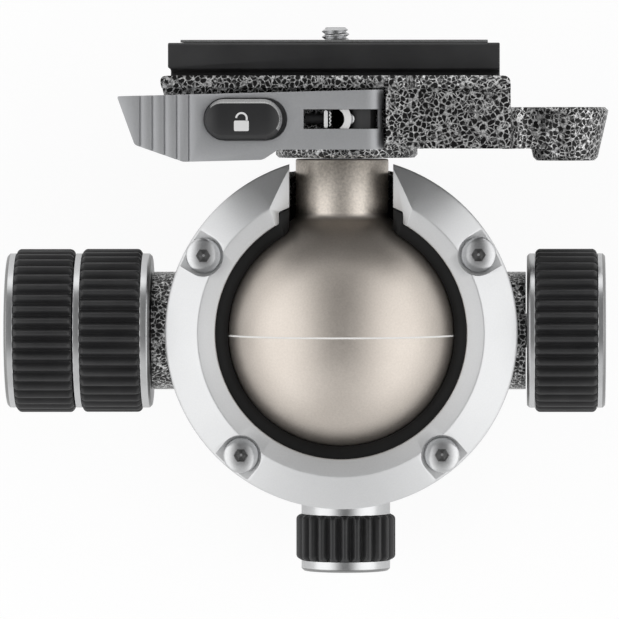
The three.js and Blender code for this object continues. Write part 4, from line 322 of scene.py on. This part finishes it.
MOTTLED = mottled()
SILVER = blasted("satin_silver", (0.6, 0.605, 0.61), (0.67, 0.675, 0.68), 0.3)
RING = blasted("blasted_silver", (0.67, 0.675, 0.68), (0.73, 0.735, 0.74), 0.5)
# Painted highlight: the stem is the ball's champagne metal, painted lighter to stand in for the
# light along it
STEM_PAINTED_HIGHLIGHT = blasted(
    "stem_painted_highlight", (0.52, 0.472, 0.415), (0.9, 0.83, 0.75), 0.42, grain=1700, strength=0.8
)
CHAMPAGNE = blasted(
    "champagne", (0.55, 0.5, 0.45), (0.66, 0.605, 0.55), 0.42, grain=2200, strength=0.4
)
# Painted shade: a darker silver for the turned chamfers, standing in for the dark reflection along
# the rims' outer edges
RIM_PAINTED_SHADE = blasted("rim_painted_shade", grey(0.26), grey(0.32), 0.3)
LINE = blasted("white_line", (0.8, 0.79, 0.77), (0.88, 0.87, 0.85), 0.5, 0.0)
GREY = blasted("grey_satin", (0.4, 0.405, 0.415), (0.46, 0.465, 0.475), 0.56)
RUBBER = rubber()
ANODISED = dark("black_anodised", (0.022, 0.022, 0.023), (0.034, 0.034, 0.035), 0.42, 0.3)
BUSHING = dark("bushing_black", grey(0.004), grey(0.009), 0.45, 0, Specular_IOR_Level=0.25)
SCREW = blasted("screw_steel", (0.54, 0.545, 0.55), (0.66, 0.665, 0.67), 0.3, strength=0.15)
# Painted shade: a darker steel for the inside of the screws' hexagon sockets
SOCKET_PAINTED_SHADE = blasted("socket_painted_shade", grey(0.3), grey(0.42), 0.35)
# Light metal for the latch parts, painted near white and mostly diffuse: partly their own colour,
# partly a painted highlight for their bright reflections
NICKEL_AND_PAINTED_HIGHLIGHT = dark("latch_nickel_painted_highlight", grey(0.82), grey(0.92), 0.35, 0.3)
# Painted highlight: a metallic grey for the button's upper right bevel only
BUTTON_PAINTED_HIGHLIGHT = blasted("button_painted_highlight", grey(0.3), grey(0.38), 0.25)
PLASTIC = dark("black_plastic", (0.012, 0.012, 0.013), (0.02, 0.02, 0.021), 0.38, 0)
ICON = dark("icon_paint", grey(0.66), grey(0.74), 0.5, 0)
STEEL = machined("steel", (0.5, 0.505, 0.51), (0.66, 0.665, 0.67), 0.26)
BRONZE = machined("bronze", (0.38, 0.24, 0.1), (0.48, 0.32, 0.14), 0.32)
SCALE = scale_ring()
VIAL = vial()
SLOTS = {
    "mottled_paint": MOTTLED,
    "satin_silver": SILVER,
    "champagne": CHAMPAGNE,
    "grey_satin": GREY,
    "black_rubber": RUBBER,
    "black_anodised": ANODISED,
    "black_plastic": PLASTIC,
    "steel": STEEL,
    "bronze": BRONZE,
    "vial": VIAL,
}
SLOT_OF = {row["node"]: row["material_slot"] for row in frame["record"]["subparts"]}
SMOOTH = 32  # edges that turn by more than this many degrees stay sharp


# Outlines: lists of points in millimetres
def ring(radius, height, count, start=0.0):
    """A level circle of points that starts this share of a step on."""
    angles = (TAU * (k + start) / count for k in range(count))
    return [(radius * math.cos(a), radius * math.sin(a), height) for a in angles]


def arc(x, y, radius, start, end, steps):
    """Points on a flat arc between two angles in degrees, both ends included."""
    angles = (math.radians(start + (end - start) * k / steps) for k in range(steps + 1))
    return [(x + radius * math.cos(a), y + radius * math.sin(a)) for a in angles]


def stadium(length, width, x, y, z, steps=20):
    """A loop with two straight sides and round ends."""
    half = (length - width) / 2
    ends = ((x + half, -90), (x - half, 90))
    return [
        (*point, z)
        for centre, start in ends
        for point in arc(centre, y, width / 2, start, start + 180, steps)
    ]


def curve(start, corner, end, steps):
    """Points on a quadratic curve from start to end, both included."""
    shares = (k / steps for k in range(steps + 1))
    return [tuple(start * (1 - t) ** 2 + corner * 2 * t * (1 - t) + end * t**2) for t in shares]


def rounded(profile, radius):
    """A closed profile with its corners rounded. A third value stays on its corner's points."""
    out = []
    count, steps, most_share = len(profile), 4, 0.45
    for i, (_, _, *paint) in enumerate(profile):
        a, p, b = (Vector(profile[(i + d) % count][:2]) for d in (-1, 0, 1))
        if p.x < TINY:
            out.append((*p, *paint))
            continue
        u, v = a - p, b - p
        reach = min(radius, u.length * most_share, v.length * most_share)
        points = curve(p + u.normalized() * reach, p, p + v.normalized() * reach, steps)
        out += [(*point, *paint) for point in points]
    return out


# Meshes: points and faces. A face with a material is a pair of its corners and its index
def lathe(profile, segments=160):
    """A closed profile of radius and height, turned about Z. A third value is a material."""
    verts, rings = [], []
    for radius, height, *_ in profile:
        if radius < TINY:
            rings.append([len(verts)] * segments)
            verts.append((0, 0, height))
            continue
        rings.append([len(verts) + k for k in range(segments)])
        verts += ring(radius, height, segments)
    faces = []
    for i, (_, _, *paint) in enumerate(profile):
        a, b = rings[i], rings[(i + 1) % len(rings)]
        if a[0] == a[-1] and b[0] == b[-1]:
            continue
        for k in range(segments):
            n = (k + 1) % segments
            corners = tuple(dict.fromkeys((a[k], a[n], b[n], b[k])))
            faces.append((corners, paint[0] if paint else 0))
    return verts, faces


def loft(loops, close=True):
    """A skin through loops of equal length, capped at both ends."""
    verts = [p for loop in loops for p in loop]
    count = len(loops[0])
    faces = []
    for low in range(0, len(verts) - count, count):
        for k in range(count):
            n = (k + 1) % count
            faces.append((low + k, low + n, low + count + n, low + count + k))
    if close:
        faces.append(tuple(range(count)))
        faces.append(tuple(range(len(verts) - count, len(verts))))
    return verts, faces


def piece(name, verts, faces, where, materials, smooth=SMOOTH):
    """An object from points in a group's millimetres, smooth except over sharp edges."""
    painted = [face if isinstance(face[0], tuple) else (face, 0) for face in faces]
    mesh = bpy.data.meshes.new(name)
    mesh.from_pydata([Vector(v) for v in verts], [], [corners for corners, _ in painted])
    for material in materials:
        mesh.materials.append(material)
    for polygon, (_, paint) in zip(mesh.polygons, painted):
        polygon.material_index = paint
    mesh.transform(Matrix.Scale(MM, 4) @ where)
    made = bpy.data.objects.new(name, mesh)
    bpy.context.scene.collection.objects.link(made)
    shaded(made, smooth)
    return made


def shaded(made, smooth=SMOOTH):
    """Outward faces, smooth shading and sharp edges where the surface turns."""
    shape = bmesh.new()
    shape.from_mesh(made.data)
    bmesh.ops.remove_doubles(shape, verts=shape.verts, dist=1e-7)
    bmesh.ops.recalc_face_normals(shape, faces=shape.faces)
    shape.to_mesh(made.data)
    shape.free()
    smooth_faces(made.data, smooth)


def smooth_faces(mesh, smooth=SMOOTH):
    mesh.polygons.foreach_set("use_smooth", [True] * len(mesh.polygons))
    mesh.set_sharp_from_angle(angle=math.radians(smooth))


def prism(points, low, high, where):
    """A temporary cutting solid from an outline in X and Y."""
    verts, faces = loft([[(x, y, z) for x, y in points] for z in (low, high)])
    return piece("cutter", verts, faces, where, [])


def baked(made):
    """Leaves the object's mesh as its modifiers make it."""
    graph = bpy.context.evaluated_depsgraph_get()
    mesh = bpy.data.meshes.new_from_object(made.evaluated_get(graph))
    made.modifiers.clear()
    made.data = mesh


def finished(made, width, smooth=SMOOTH, segments=2):
    """Merges the object's flat faces and bevels its edges."""
    shape = bmesh.new()
    shape.from_mesh(made.data)
    bmesh.ops.remove_doubles(shape, verts=shape.verts, dist=2e-6)
    flat = math.radians(0.6)
    bmesh.ops.dissolve_limit(shape, angle_limit=flat, verts=shape.verts, edges=shape.edges)
    shape.to_mesh(made.data)
    shape.free()
    bevel = made.modifiers.new("bevel", "BEVEL")
    bevel.width = width * MM
    bevel.segments = segments
    bevel.limit_method = "ANGLE"
    bevel.angle_limit = math.radians(30)
    bevel.use_clamp_overlap = True
    baked(made)
    shaded(made, smooth)


def carved(made, cutters, width=0.0, smooth=SMOOTH):
    """The object with the cutters taken out of it, and bevelled where a width is given."""
    for cutter in cutters:
        cut = made.modifiers.new("cut", "BOOLEAN")
        cut.object = cutter
        cut.solver = "EXACT"
        cut.operation = "DIFFERENCE"
    baked(made)
    for cutter in cutters:
        bpy.data.objects.remove(cutter)
    if width:
        finished(made, width, smooth)
    return made


def on(made, body, node=None):
    """Ties a piece to its body, and hides the node that it replaces, if one is given."""
    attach(made, body)
    if node:
        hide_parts(node)


def turned(name, body, node, where, profile):
    """A silver turned piece with fine round edges. Material 1, on the chamfer, is painted shade: a
    darker silver.
    """
    verts, faces = lathe(rounded(profile, 0.15))
    on(piece(name, verts, faces, where, [SILVER, RIM_PAINTED_SHADE]), body, node)


def fuller_end(mesh):
    """The lever's round end a little squarer, inside what it may sweep in its bay."""
    radius, power, near, skin = 4.9, 2.75, 0.02, 0.15
    for vertex in mesh.vertices:
        spot = INWARD @ vertex.co
        off = spot.xy - LEVER_PIVOT
        if off.x > near and off.y < -near and off.length > radius - skin:
            way = off.normalized()
            off *= (abs(way.x) ** power + abs(way.y) ** power) ** (-1 / power)
            vertex.co = OUTWARD @ Vector((*(LEVER_PIVOT + off), spot.z))


def square_ends(mesh):
    """The plate's right end straight down, and a smaller cut low in its left end."""
    right, left, cut, cut_top, near = 36.7, -39.7, 0.9, 62.3, 0.02
    lower, inset = 0.8, 0.3
    for vertex in mesh.vertices:
        spot = INWARD @ vertex.co
        if abs(spot.x - right + cut) < near:
            spot.x = right
        elif abs(spot.x - left) < near and abs(spot.z - cut_top) < near:
            spot.z -= lower
        elif abs(spot.x - left - cut) < near:
            spot.x -= inset
        vertex.co = OUTWARD @ spot


def softened(name, body, node, width, smooth=SMOOTH, segments=3, material=None, reshape=None):
    """A copy of a node's solid with fine bevels, in place of the node."""
    source = NODES[node]
    mesh = source.data.copy()
    mesh.transform(source.matrix_world)
    if reshape:
        reshape(mesh)
    mesh.materials.clear()
    mesh.materials.append(material or SLOTS[SLOT_OF[node]])
    made = bpy.data.objects.new(name, mesh)
    bpy.context.scene.collection.objects.link(made)
    finished(made, width, smooth, segments)
    on(made, body, node)


# Carried-over nodes: materials and smooth shading
for node_name, node in NODES.items():
    own = SLOTS[SLOT_OF[node_name]]
    node.data.materials.clear()
    node.data.materials.append(SCALE if node_name == "pan_scale_ring" else own)
    smooth_faces(node.data)


def ball():
    """The hollow ball, its white line and its stem in one turned piece."""
    radius, stem, foot, foot_bore = 28.5, 10.8, -26.6, 8
    white, stem_painted_highlight = 1, 2  # materials
    base = radius * math.sin(math.acos(stem / radius))
    low, high = math.asin(foot / radius), math.acos(stem / radius) - 0.045
    steps = 150
    profile = [(foot_bore, foot), (radius * math.cos(math.asin(foot / radius)), foot)]
    for k in range(1, steps):
        angle = low + (high - low) * k / steps
        profile.append((radius * math.cos(angle), radius * math.sin(angle)))

    line_low, line_high, line_edge, line_depth = -0.82, -0.38, 0.02, 0.03
    heights = (line_low, line_low + line_edge, line_high - line_edge, line_high)
    line = [(math.sqrt(radius**2 - z * z), z) for z in heights]
    line[1] = (line[1][0] - line_depth, line[1][1], white)
    line[2] = (line[2][0] - line_depth, line[2][1])
    clear = 0.01
    under = [p for p in profile if p[1] <= line_low - clear]
    over = [p for p in profile if p[1] >= line_high + clear]
    profile = under + line + over

    fillet = curve(Vector(profile[-1]), Vector((stem, base)), Vector((stem, base + 1.3)), 8)
    profile += fillet[1:-1] + [(*fillet[-1], stem_painted_highlight)]
    top, bolt_hole, hollow, hollow_top = 40.25, 5.3, 16, 12
    profile += [
        (stem, top - 0.4), (stem - 0.12, top - 0.12), (stem - 0.4, top), (bolt_hole, top),
        (bolt_hole, hollow_top), (hollow, hollow_top), (hollow, -13), (foot_bore, -21),
    ]
    verts, faces = lathe(profile, 192)
    on(piece("ball_shell", verts, faces, PLATFORM, [CHAMPAGNE, LINE, STEM_PAINTED_HIGHLIGHT], 40), "ball", "ball")


ball()


# Knobs: fluted rubber, metal rims and caps
def grip(name, body, node, where, radius, bore, flutes, low, high, phase=0.0):
    """A rubber sleeve with rounded ribs that fade into its soft edges."""
    per, depth, edge = 14, 1.45, 0.85
    count = flutes * per

    def loop(height, inset, fade):
        points = []
        for i in range(count):
            share = i % per / per
            dip = (0.5 - 0.5 * math.cos(TAU * share)) ** 1.5
            angle = TAU * (i + phase * per) / count
            r = radius - inset - depth * dip * fade
            points.append((r * math.cos(angle), r * math.sin(angle), height))
        return points

    def end(height):
        return [ring(r, height, count, phase * per) for r in (bore, radius - edge - 0.55)]

    rows = [(0.0, edge, 0.25), (0.25, 0.42, 0.7), (0.6, 0.12, 1), (1.0, 0.0, 1)]
    loops = end(low) + [loop(low + h, inset, fade) for h, inset, fade in rows]
    loops += [loop(low + (high - low) / 2, 0.0, 1)]
    loops += [loop(high - h, inset, fade) for h, inset, fade in reversed(rows)]
    loops += reversed(end(high))
    verts, faces = loft(loops, close=False)
    last = len(verts) - count
    for k in range(count):
        n = (k + 1) % count
        faces.append((last + k, last + n, n, k))
    on(piece(name, verts, faces, where, [RUBBER], 38), body, node)


LARGE = (19.1, 16.1, 41)  # radius, bore and flutes
SMALL = (11.8, 9.1, 24)
grip("lock_grip_fluted", "lock_knob", "lock_knob_grip", LEFT, *LARGE, 62.65, 76.2)
grip("friction_grip_fluted", "friction_knob", "friction_knob_grip", LEFT, *LARGE, 46.9, 60.75, 0.5)
grip("right_grip_fluted", "right_knob", "right_knob_grip", RIGHT, *LARGE, 45, 59.35)
grip("pan_grip_fluted", "pan_knob", "pan_knob_grip", PAN, *SMALL, 44.9, 55.6)
turned(
    "friction_core_turned", "friction_knob", "friction_knob_core", LEFT,
    [(4.3, 36.5), (6.5, 36.5), (6.5, 44.6), (17.45, 44.6, 1), (18.05, 45.2), (18.05, 46.8),
     (16, 46.8), (16, 60.85), (18.05, 60.85), (18.05, 62.35), (4.3, 62.35)],
)
turned(
    "lock_cap_turned", "lock_knob", "lock_knob_cap", LEFT,
    [(0, 76.3), (18.05, 76.3), (18.05, 77.8, 1), (17.45, 78.4), (15, 78.4), (14.2, 77.6),
     (0, 77.6)],
)
turned(
    "right_core_turned", "right_knob", "right_knob_core", RIGHT,
    [(4.3, 43.05), (17.45, 43.05, 1), (18.05, 43.65), (18.05, 44.9), (16, 44.9), (16, 59.25),
     (0, 59.25), (0, 52.35), (4.3, 52.35)],
)
turned(
    "right_cap_turned", "right_knob", "right_knob_cap", RIGHT,
    [(0, 59.45), (18.05, 59.45), (18.05, 60.7, 1), (17.45, 61.3), (15, 61.3), (14.2, 60.5),
     (0, 60.5)],
)
turned(
    "pan_core_turned", "pan_knob", "pan_knob_core", PAN,
    [(3.3, 41.3), (9.96, 41.3), (10.56, 41.9), (10.56, 44.8), (9, 44.8), (9, 55.5), (0, 55.5),
     (0, 50.6), (3.3, 50.6)],
)
turned(
    "pan_cap_turned", "pan_knob", "pan_knob_cap", PAN,
    [(0, 55.7), (10.56, 55.7), (10.56, 57.7, 1), (9.96, 58.3), (7.6, 58.3), (6.8, 57.5),
     (0, 57.5)],
)


# Collar ring, its screws and the bushing, all with the ball's notch cut out
SOCKET_SEGMENTS = 240


def notch():
    """A cutter for the stem's notch: round below, with lead-ins at 45 degrees on top."""
    half, lead_in, top, length = 12.05, 10.9, 19.0, 45
    wide = half + top - lead_in
    points = [(half, 0), (half, lead_in), (wide, top), (-wide, top), (-half, lead_in), (-half, 0)]
    points += arc(0, 0, half, 180, 360, 24)[1:-1]
    return prism(points, -length, 0, SOCKET @ Matrix.Rotation(math.pi / 2, 4, "X"))


def collar():
    rim, pocket, circle, floor = 40.9, 4.8, 36.6, 10.6
    profile = rounded(
        [(31.5, 7.4), (rim, 7.4), (rim, 10.05), (rim - 0.35, 10.48), (33.2, 15.3), (29.1, 14),
         (29.1, 13.2), (31.5, 13.2)],
        0.3,
    )
    angles = [math.radians(angle) for angle in (29.7, 150.6, 230.6, 309.6)]
    pocket_plan = arc(0, 0, pocket, 90, 270, 32) + [(9, -pocket), (9, pocket)]
    cutters = [notch()]
    for angle in angles:
        spot = SOCKET @ Matrix.Rotation(angle, 4, "Z") @ Matrix.Translation((circle, 0, 0))
        cutters.append(prism(pocket_plan, floor, 20, spot))
    verts, faces = lathe(profile, SOCKET_SEGMENTS)
    made = carved(piece("collar_smooth", verts, faces, SOCKET, [RING]), cutters, 0.2)
    on(made, "housing", "collar_ring")
    for i, angle in enumerate(angles):
        place = (circle * math.cos(angle), circle * math.sin(angle), 0)
        collar_screw(f"collar_screw_{i + 1}", SOCKET @ Matrix.Translation(place), floor)


def collar_screw(node, spot, floor):
    """A domed head on its shank, with a hexagon socket that narrows to a drill point and is
    painted darker as shade.
    """
    head, shank, socket = 4.15, 1.5, 1.66
    side_top, dome, domed_steps = floor + 0.65, 1.5, 16
    profile = [(0, floor - 12), (shank, floor - 12), (shank, floor), (head - 0.1, floor)]
    profile += [(head, floor + 0.1), (head, side_top - 0.1)]
    quarter = (math.pi / 2 * k / domed_steps for k in range(1, domed_steps))
    profile += [(head * math.cos(a), side_top + dome * math.sin(a)) for a in quarter]
    profile += [(0, side_top + dome)]
    verts, faces = lathe(profile, 72)
    steel_and_painted_shade = [SCREW, SOCKET_PAINTED_SHADE]
    made = piece(f"{node}_head", verts, faces, spot, steel_and_painted_shade)
    rows = ((socket, 3), (socket, 2.0), (1.42, 1.75), (1.36, 0.75), (0.9, 0.35), (0.02, -0.2))
    verts, faces = loft([ring(r, floor + z, 6) for r, z in rows])
    # The socket's faces take the darker steel: painted shade in the recess
    cutter = piece("cutter", verts, [(face, 1) for face in faces], spot, steel_and_painted_shade)
    on(carved(made, [cutter], 0.07, 40), "housing", node)


def bushing():
    clear, lip, low, steps = 28.8, 12, 2.6, 24
    heights = (low + (lip - low) * k / steps for k in range(steps + 1))
    profile = [(math.sqrt(clear**2 - z * z), z) for z in heights]
    profile += [(29.1, 12.9), (31.2, 12.9), (31.2, low)]
    verts, faces = lathe(profile, SOCKET_SEGMENTS)
    made = carved(piece("bushing_smooth", verts, faces, SOCKET, [BUSHING]), [notch()], 0.12)
    on(made, "housing", "ball_bushing")


collar()
bushing()
softened("housing_soft", "housing", "housing", 0.4, 40)
softened("clamp_soft", "platform", "clamp_body", 0.35)
softened("jaw_soft", "jaw", "rear_jaw", 0.35)
softened("lever_soft", "lever", "lever", 0.22, 28, reshape=fuller_end)
softened("plate_soft", "plate", "plate", 0.25, reshape=square_ends)
softened("pad_soft", "plate", "plate_pad", 0.15, segments=2, material=pad_rubber())


def camera_screw():
    """A helical thread over a slotted head."""
    pitch, crest, root, head = 1.27, 3.175, 2.45, 7.0
    low, shoulder, high = 57.6, 60.3, 70.85
    tip, tip_inset = 0.8, 0.95
    segments, per = 72, 12
    rims = ((head - 0.4, low), (head, low + 0.4), (head, shoulder - 0.3), (head - 0.3, shoulder))
    loops = [ring(radius, height, segments) for radius, height in rims]
    rows = int((high - shoulder) / pitch * per)
    for j in range(rows + 1):
        height = shoulder + (high - shoulder) * j / rows
        cap = crest - tip_inset * max(0.0, 1 - (high - height) / tip)
        row = []
        for k in range(segments):
            wave = 1 - abs(2 * ((height / pitch - k / segments) % 1.0) - 1)
            flank = min(1.0, max(0.0, wave * 1.35 - 0.15))
            radius = min(cap, root + (crest - root) * flank)
            angle = TAU * k / segments
            row.append((radius * math.cos(angle), radius * math.sin(angle), height))
        loops.append(row)
    verts, faces = loft(loops)
    where = PLATFORM @ Matrix.Translation((-1.5, 0, 0))
    made = piece("camera_screw_thread", verts, faces, where, [STEEL], 50)
    reach, half, depth = 9, 0.8, 1.3
    slot_plan = [(-reach, -half), (reach, -half), (reach, half), (-reach, half)]
    carved(made, [prism(slot_plan, low - 2, low + depth, where)])
    on(made, "camera_screw", "camera_screw")
    shaded(made, 50)


camera_screw()


def latch():
    """What shows in the lever's window: the latch pin, its collars, spring and round nose."""
    axis = Matrix.Translation((0, LEVER_PIVOT.y, LEVER_MIDDLE))
    where = PLATFORM @ axis @ Matrix.Rotation(math.pi / 2, 4, "Y")
    core = 1.25
    shaft = [(0, -7.8), (1.3, -7.8), (1.3, -3.75), (1.75, -3.75), (2, -3.55), (2, -2.95)]
    shaft += [(1.75, -2.75), (core, -2.75)]
    for x in (-2.3, -1.8):
        shaft += [(core, x - 0.2), (1.7, x - 0.1), (1.7, x + 0.1), (core, x + 0.2)]
    shaft += [(core, -1.5), (2.1, -1.5), (2.1, -1.15), (core, -1.15), (core, 1.6), (0, 1.6)]
    verts, faces = lathe(shaft, 48)
    on(piece("latch_pin_turned", verts, faces, where, [ANODISED], 50), "lever", "latch_pin")

    def bow(radius, limit):
        return arc(-1.3, LEVER_MIDDLE, radius, -limit, limit, 16)

    floor, low, high = 29.5, 47.5, 51.8
    nose = [(-1.1, low)] + bow(2.4, 60) + [(-1.1, high)]
    crescent = bow(4.1, 33) + [(-0.1, high), (-0.9, high)]
    crescent += bow(2.5, 62)[::-1] + [(-0.9, low), (-0.1, low)]
    taper = [(2.7, 48.3), (3.45, 48.9), (3.62, LEVER_MIDDLE), (3.45, 50.4), (2.7, 51)]
    flange = [(-y, x) for x, y, _ in stadium(4.1, 0.85, LEVER_MIDDLE, 3.0, 0, 6)]
    washer = [(-1.45, low), (-1.15, low), (-1.15, high), (-1.45, high)]
    coil = [(-2.35 + 0.35 * (k % 2), 48 + 0.42 * k) for k in range(9)]
    spring = coil + [(x + 0.34, y) for x, y in reversed(coil)]
    shapes = (
        ("latch_nose", nose, 31.9, PLASTIC, 0.35),
        ("latch_collar", crescent, 32.4, NICKEL_AND_PAINTED_HIGHLIGHT, 0.1),
        ("latch_taper", taper, 31.6, SILVER, 0.35),
        ("latch_flange", flange, 32.2, NICKEL_AND_PAINTED_HIGHLIGHT, 0.1),
        ("latch_washer", washer, 32.1, NICKEL_AND_PAINTED_HIGHLIGHT, 0.1),
        ("latch_spring", spring, 32, NICKEL_AND_PAINTED_HIGHLIGHT, 0.1),
    )
    for name, points, top, material, width in shapes:
        verts, faces = loft([[(x, y, z) for x, y in points] for z in (floor, top)])
        made = piece(name, verts, faces, CLAMP_FACE, [material])
        finished(made, width, 50, 3)
        on(made, "lever")


latch()


def button():
    """The lock button, with a painted highlight along its upper bevel, and an open padlock."""
    x, deck, face = -22.1, 33, 2.2
    rows = [  # length, width, shift and height over the deck
        (17.1, 9.2, 0.0, -2.2), (17.1, 9.2, 0.0, -0.3), (17.9, 9.3, 0.32, 0.1),
        (17.9, 9.3, 0.32, 0.95), (17.8, 9.2, 0.3, 1.15), (16.75, 7.3, 0.14, 2.1),
        (16.5, 7.0, 0.12, face), (9.7, 0.2, 0.12, face),
    ]
    loops = [
        stadium(length, width, x + shift, LEVER_MIDDLE, deck + z)
        for length, width, shift, z in rows
    ]
    verts, faces = loft(loops)
    count = len(loops[0])
    # Painted highlight: the upper right span of the bevel takes the metallic grey, the rest stays
    # black plastic
    bevel, lit = range(4 * count, 5 * count), range(6, 26)
    faces = [(side, 1 if i in bevel and i % count in lit else 0) for i, side in enumerate(faces)]
    made = piece("button_shell", verts, faces, CLAMP_FACE, [PLASTIC, BUTTON_PAINTED_HIGHLIGHT], 50)
    on(made, "lock_button", "lock_button")

    def plate(points, name):
        low = deck + face - 0.05
        loops = [[(-22.2 + px, 48.14 + py, low + z) for px, py in points] for z in (0, 0.1)]
        verts, faces = loft(loops)
        on(piece(name, verts, faces, CLAMP_FACE, [ICON]), "lock_button")

    wide, tall, corner = 1.4, 0.9, 0.3
    corners = ((wide, -tall, -90), (wide, tall, 0), (-wide, tall, 90), (-wide, -tall, 180))
    body = []
    for cx, cy, start in corners:
        body += arc(cx, cy, corner, start, start + 90, 4)
    plate(body, "icon_body")
    outer, inner, foot, middle, end = 1.42, 0.98, 1.1, (0.02, 1.72), 176
    shackle = [(outer, foot)] + arc(*middle, outer, 0, end, 14)
    shackle += arc(*middle, inner, end, 0, 14) + [(inner, foot)]
    plate(shackle, "icon_shackle")


button()


# Stage and light
def stage():
    """A plain floor that camera, metal and glass see as white, but for the object's shadow."""
    half_size, drop = 8, 0.0002  # in metres
    white_strength, white_share, glossy_share = 1.04, 0.86, 0.4
    shape = bmesh.new()
    bmesh.ops.create_grid(shape, x_segments=2, y_segments=2, size=half_size)
    mesh = bpy.data.meshes.new("floor")
    shape.to_mesh(mesh)
    shape.free()
    floor = bpy.data.objects.new("floor", mesh)
    floor.location.z = -drop
    bpy.context.scene.collection.objects.link(floor)
    material = bpy.data.materials.new("floor_white")
    material.use_nodes = True
    tree = material.node_tree
    diffuse = tree.nodes["Principled BSDF"]
    diffuse.inputs["Base Color"].default_value = (0.86, 0.86, 0.86, 1)
    diffuse.inputs["Roughness"].default_value = 0.9
    white = tree.nodes.new("ShaderNodeEmission")
    white.inputs["Strength"].default_value = white_strength
    path = tree.nodes.new("ShaderNodeLightPath").outputs
    glossy = maths(tree, "MULTIPLY", path["Is Glossy Ray"], glossy_share)
    seen = maths(tree, "MAXIMUM", glossy, path["Is Transmission Ray"])
    seen = maths(tree, "MAXIMUM", seen, path["Is Camera Ray"])
    mix = tree.nodes.new("ShaderNodeMixShader")
    tree.links.new(maths(tree, "MULTIPLY", seen, white_share), mix.inputs[0])
    tree.links.new(diffuse.outputs[0], mix.inputs[1])
    tree.links.new(white.outputs[0], mix.inputs[2])
    tree.links.new(mix.outputs[0], tree.nodes["Material Output"].inputs["Surface"])
    mesh.materials.append(material)


def studio():
    """A wide soft dome: dim overhead, bright at both sides and low behind, softer in front."""
    brightest, range_down = 1.55, 1.4
    world = bpy.data.worlds.new("studio")
    world.use_nodes = True
    tree = world.node_tree
    coords = tree.nodes.new("ShaderNodeTexCoord")
    split = tree.nodes.new("ShaderNodeSeparateXYZ")
    tree.links.new(coords.outputs["Generated"], split.inputs[0])
    x, y, z = split.outputs
    side = smoothed(tree, maths(tree, "ABSOLUTE", x), 0.14, 0.7)
    less_behind = smoothed(tree, y, 0.3, 0.7, 1.0, 0.9)
    less_at_horizon = smoothed(tree, z, 0.0, 0.12, 0.2, 1.0)
    for share in (less_behind, less_at_horizon):
        side = maths(tree, "MULTIPLY", side, share)
    front = smoothed(tree, y, -0.25, -0.75, 0.0, 0.38)
    rear = smoothed(tree, y, 0.86, 0.965, 0.0, 1.0)
    shade = maths(tree, "SUBTRACT", 1.0, side)
    for part in (front, rear):
        shade = maths(tree, "MULTIPLY", shade, maths(tree, "SUBTRACT", 1.0, part))
    level = maths(tree, "SUBTRACT", brightest, maths(tree, "MULTIPLY", shade, range_down))
    # The camera sees plain white, at a strength of 1
    seen = tree.nodes.new("ShaderNodeLightPath").outputs["Is Camera Ray"]
    lit = maths(tree, "MULTIPLY", level, maths(tree, "SUBTRACT", 1.0, seen))
    background = tree.nodes["Background"].inputs
    background["Color"].default_value = (1, 1, 1, 1)
    tree.links.new(maths(tree, "ADD", lit, seen), background["Strength"])
    bpy.context.scene.world = world


stage()
studio()
bpy.context.scene.view_settings.view_transform = "Standard"
camera()
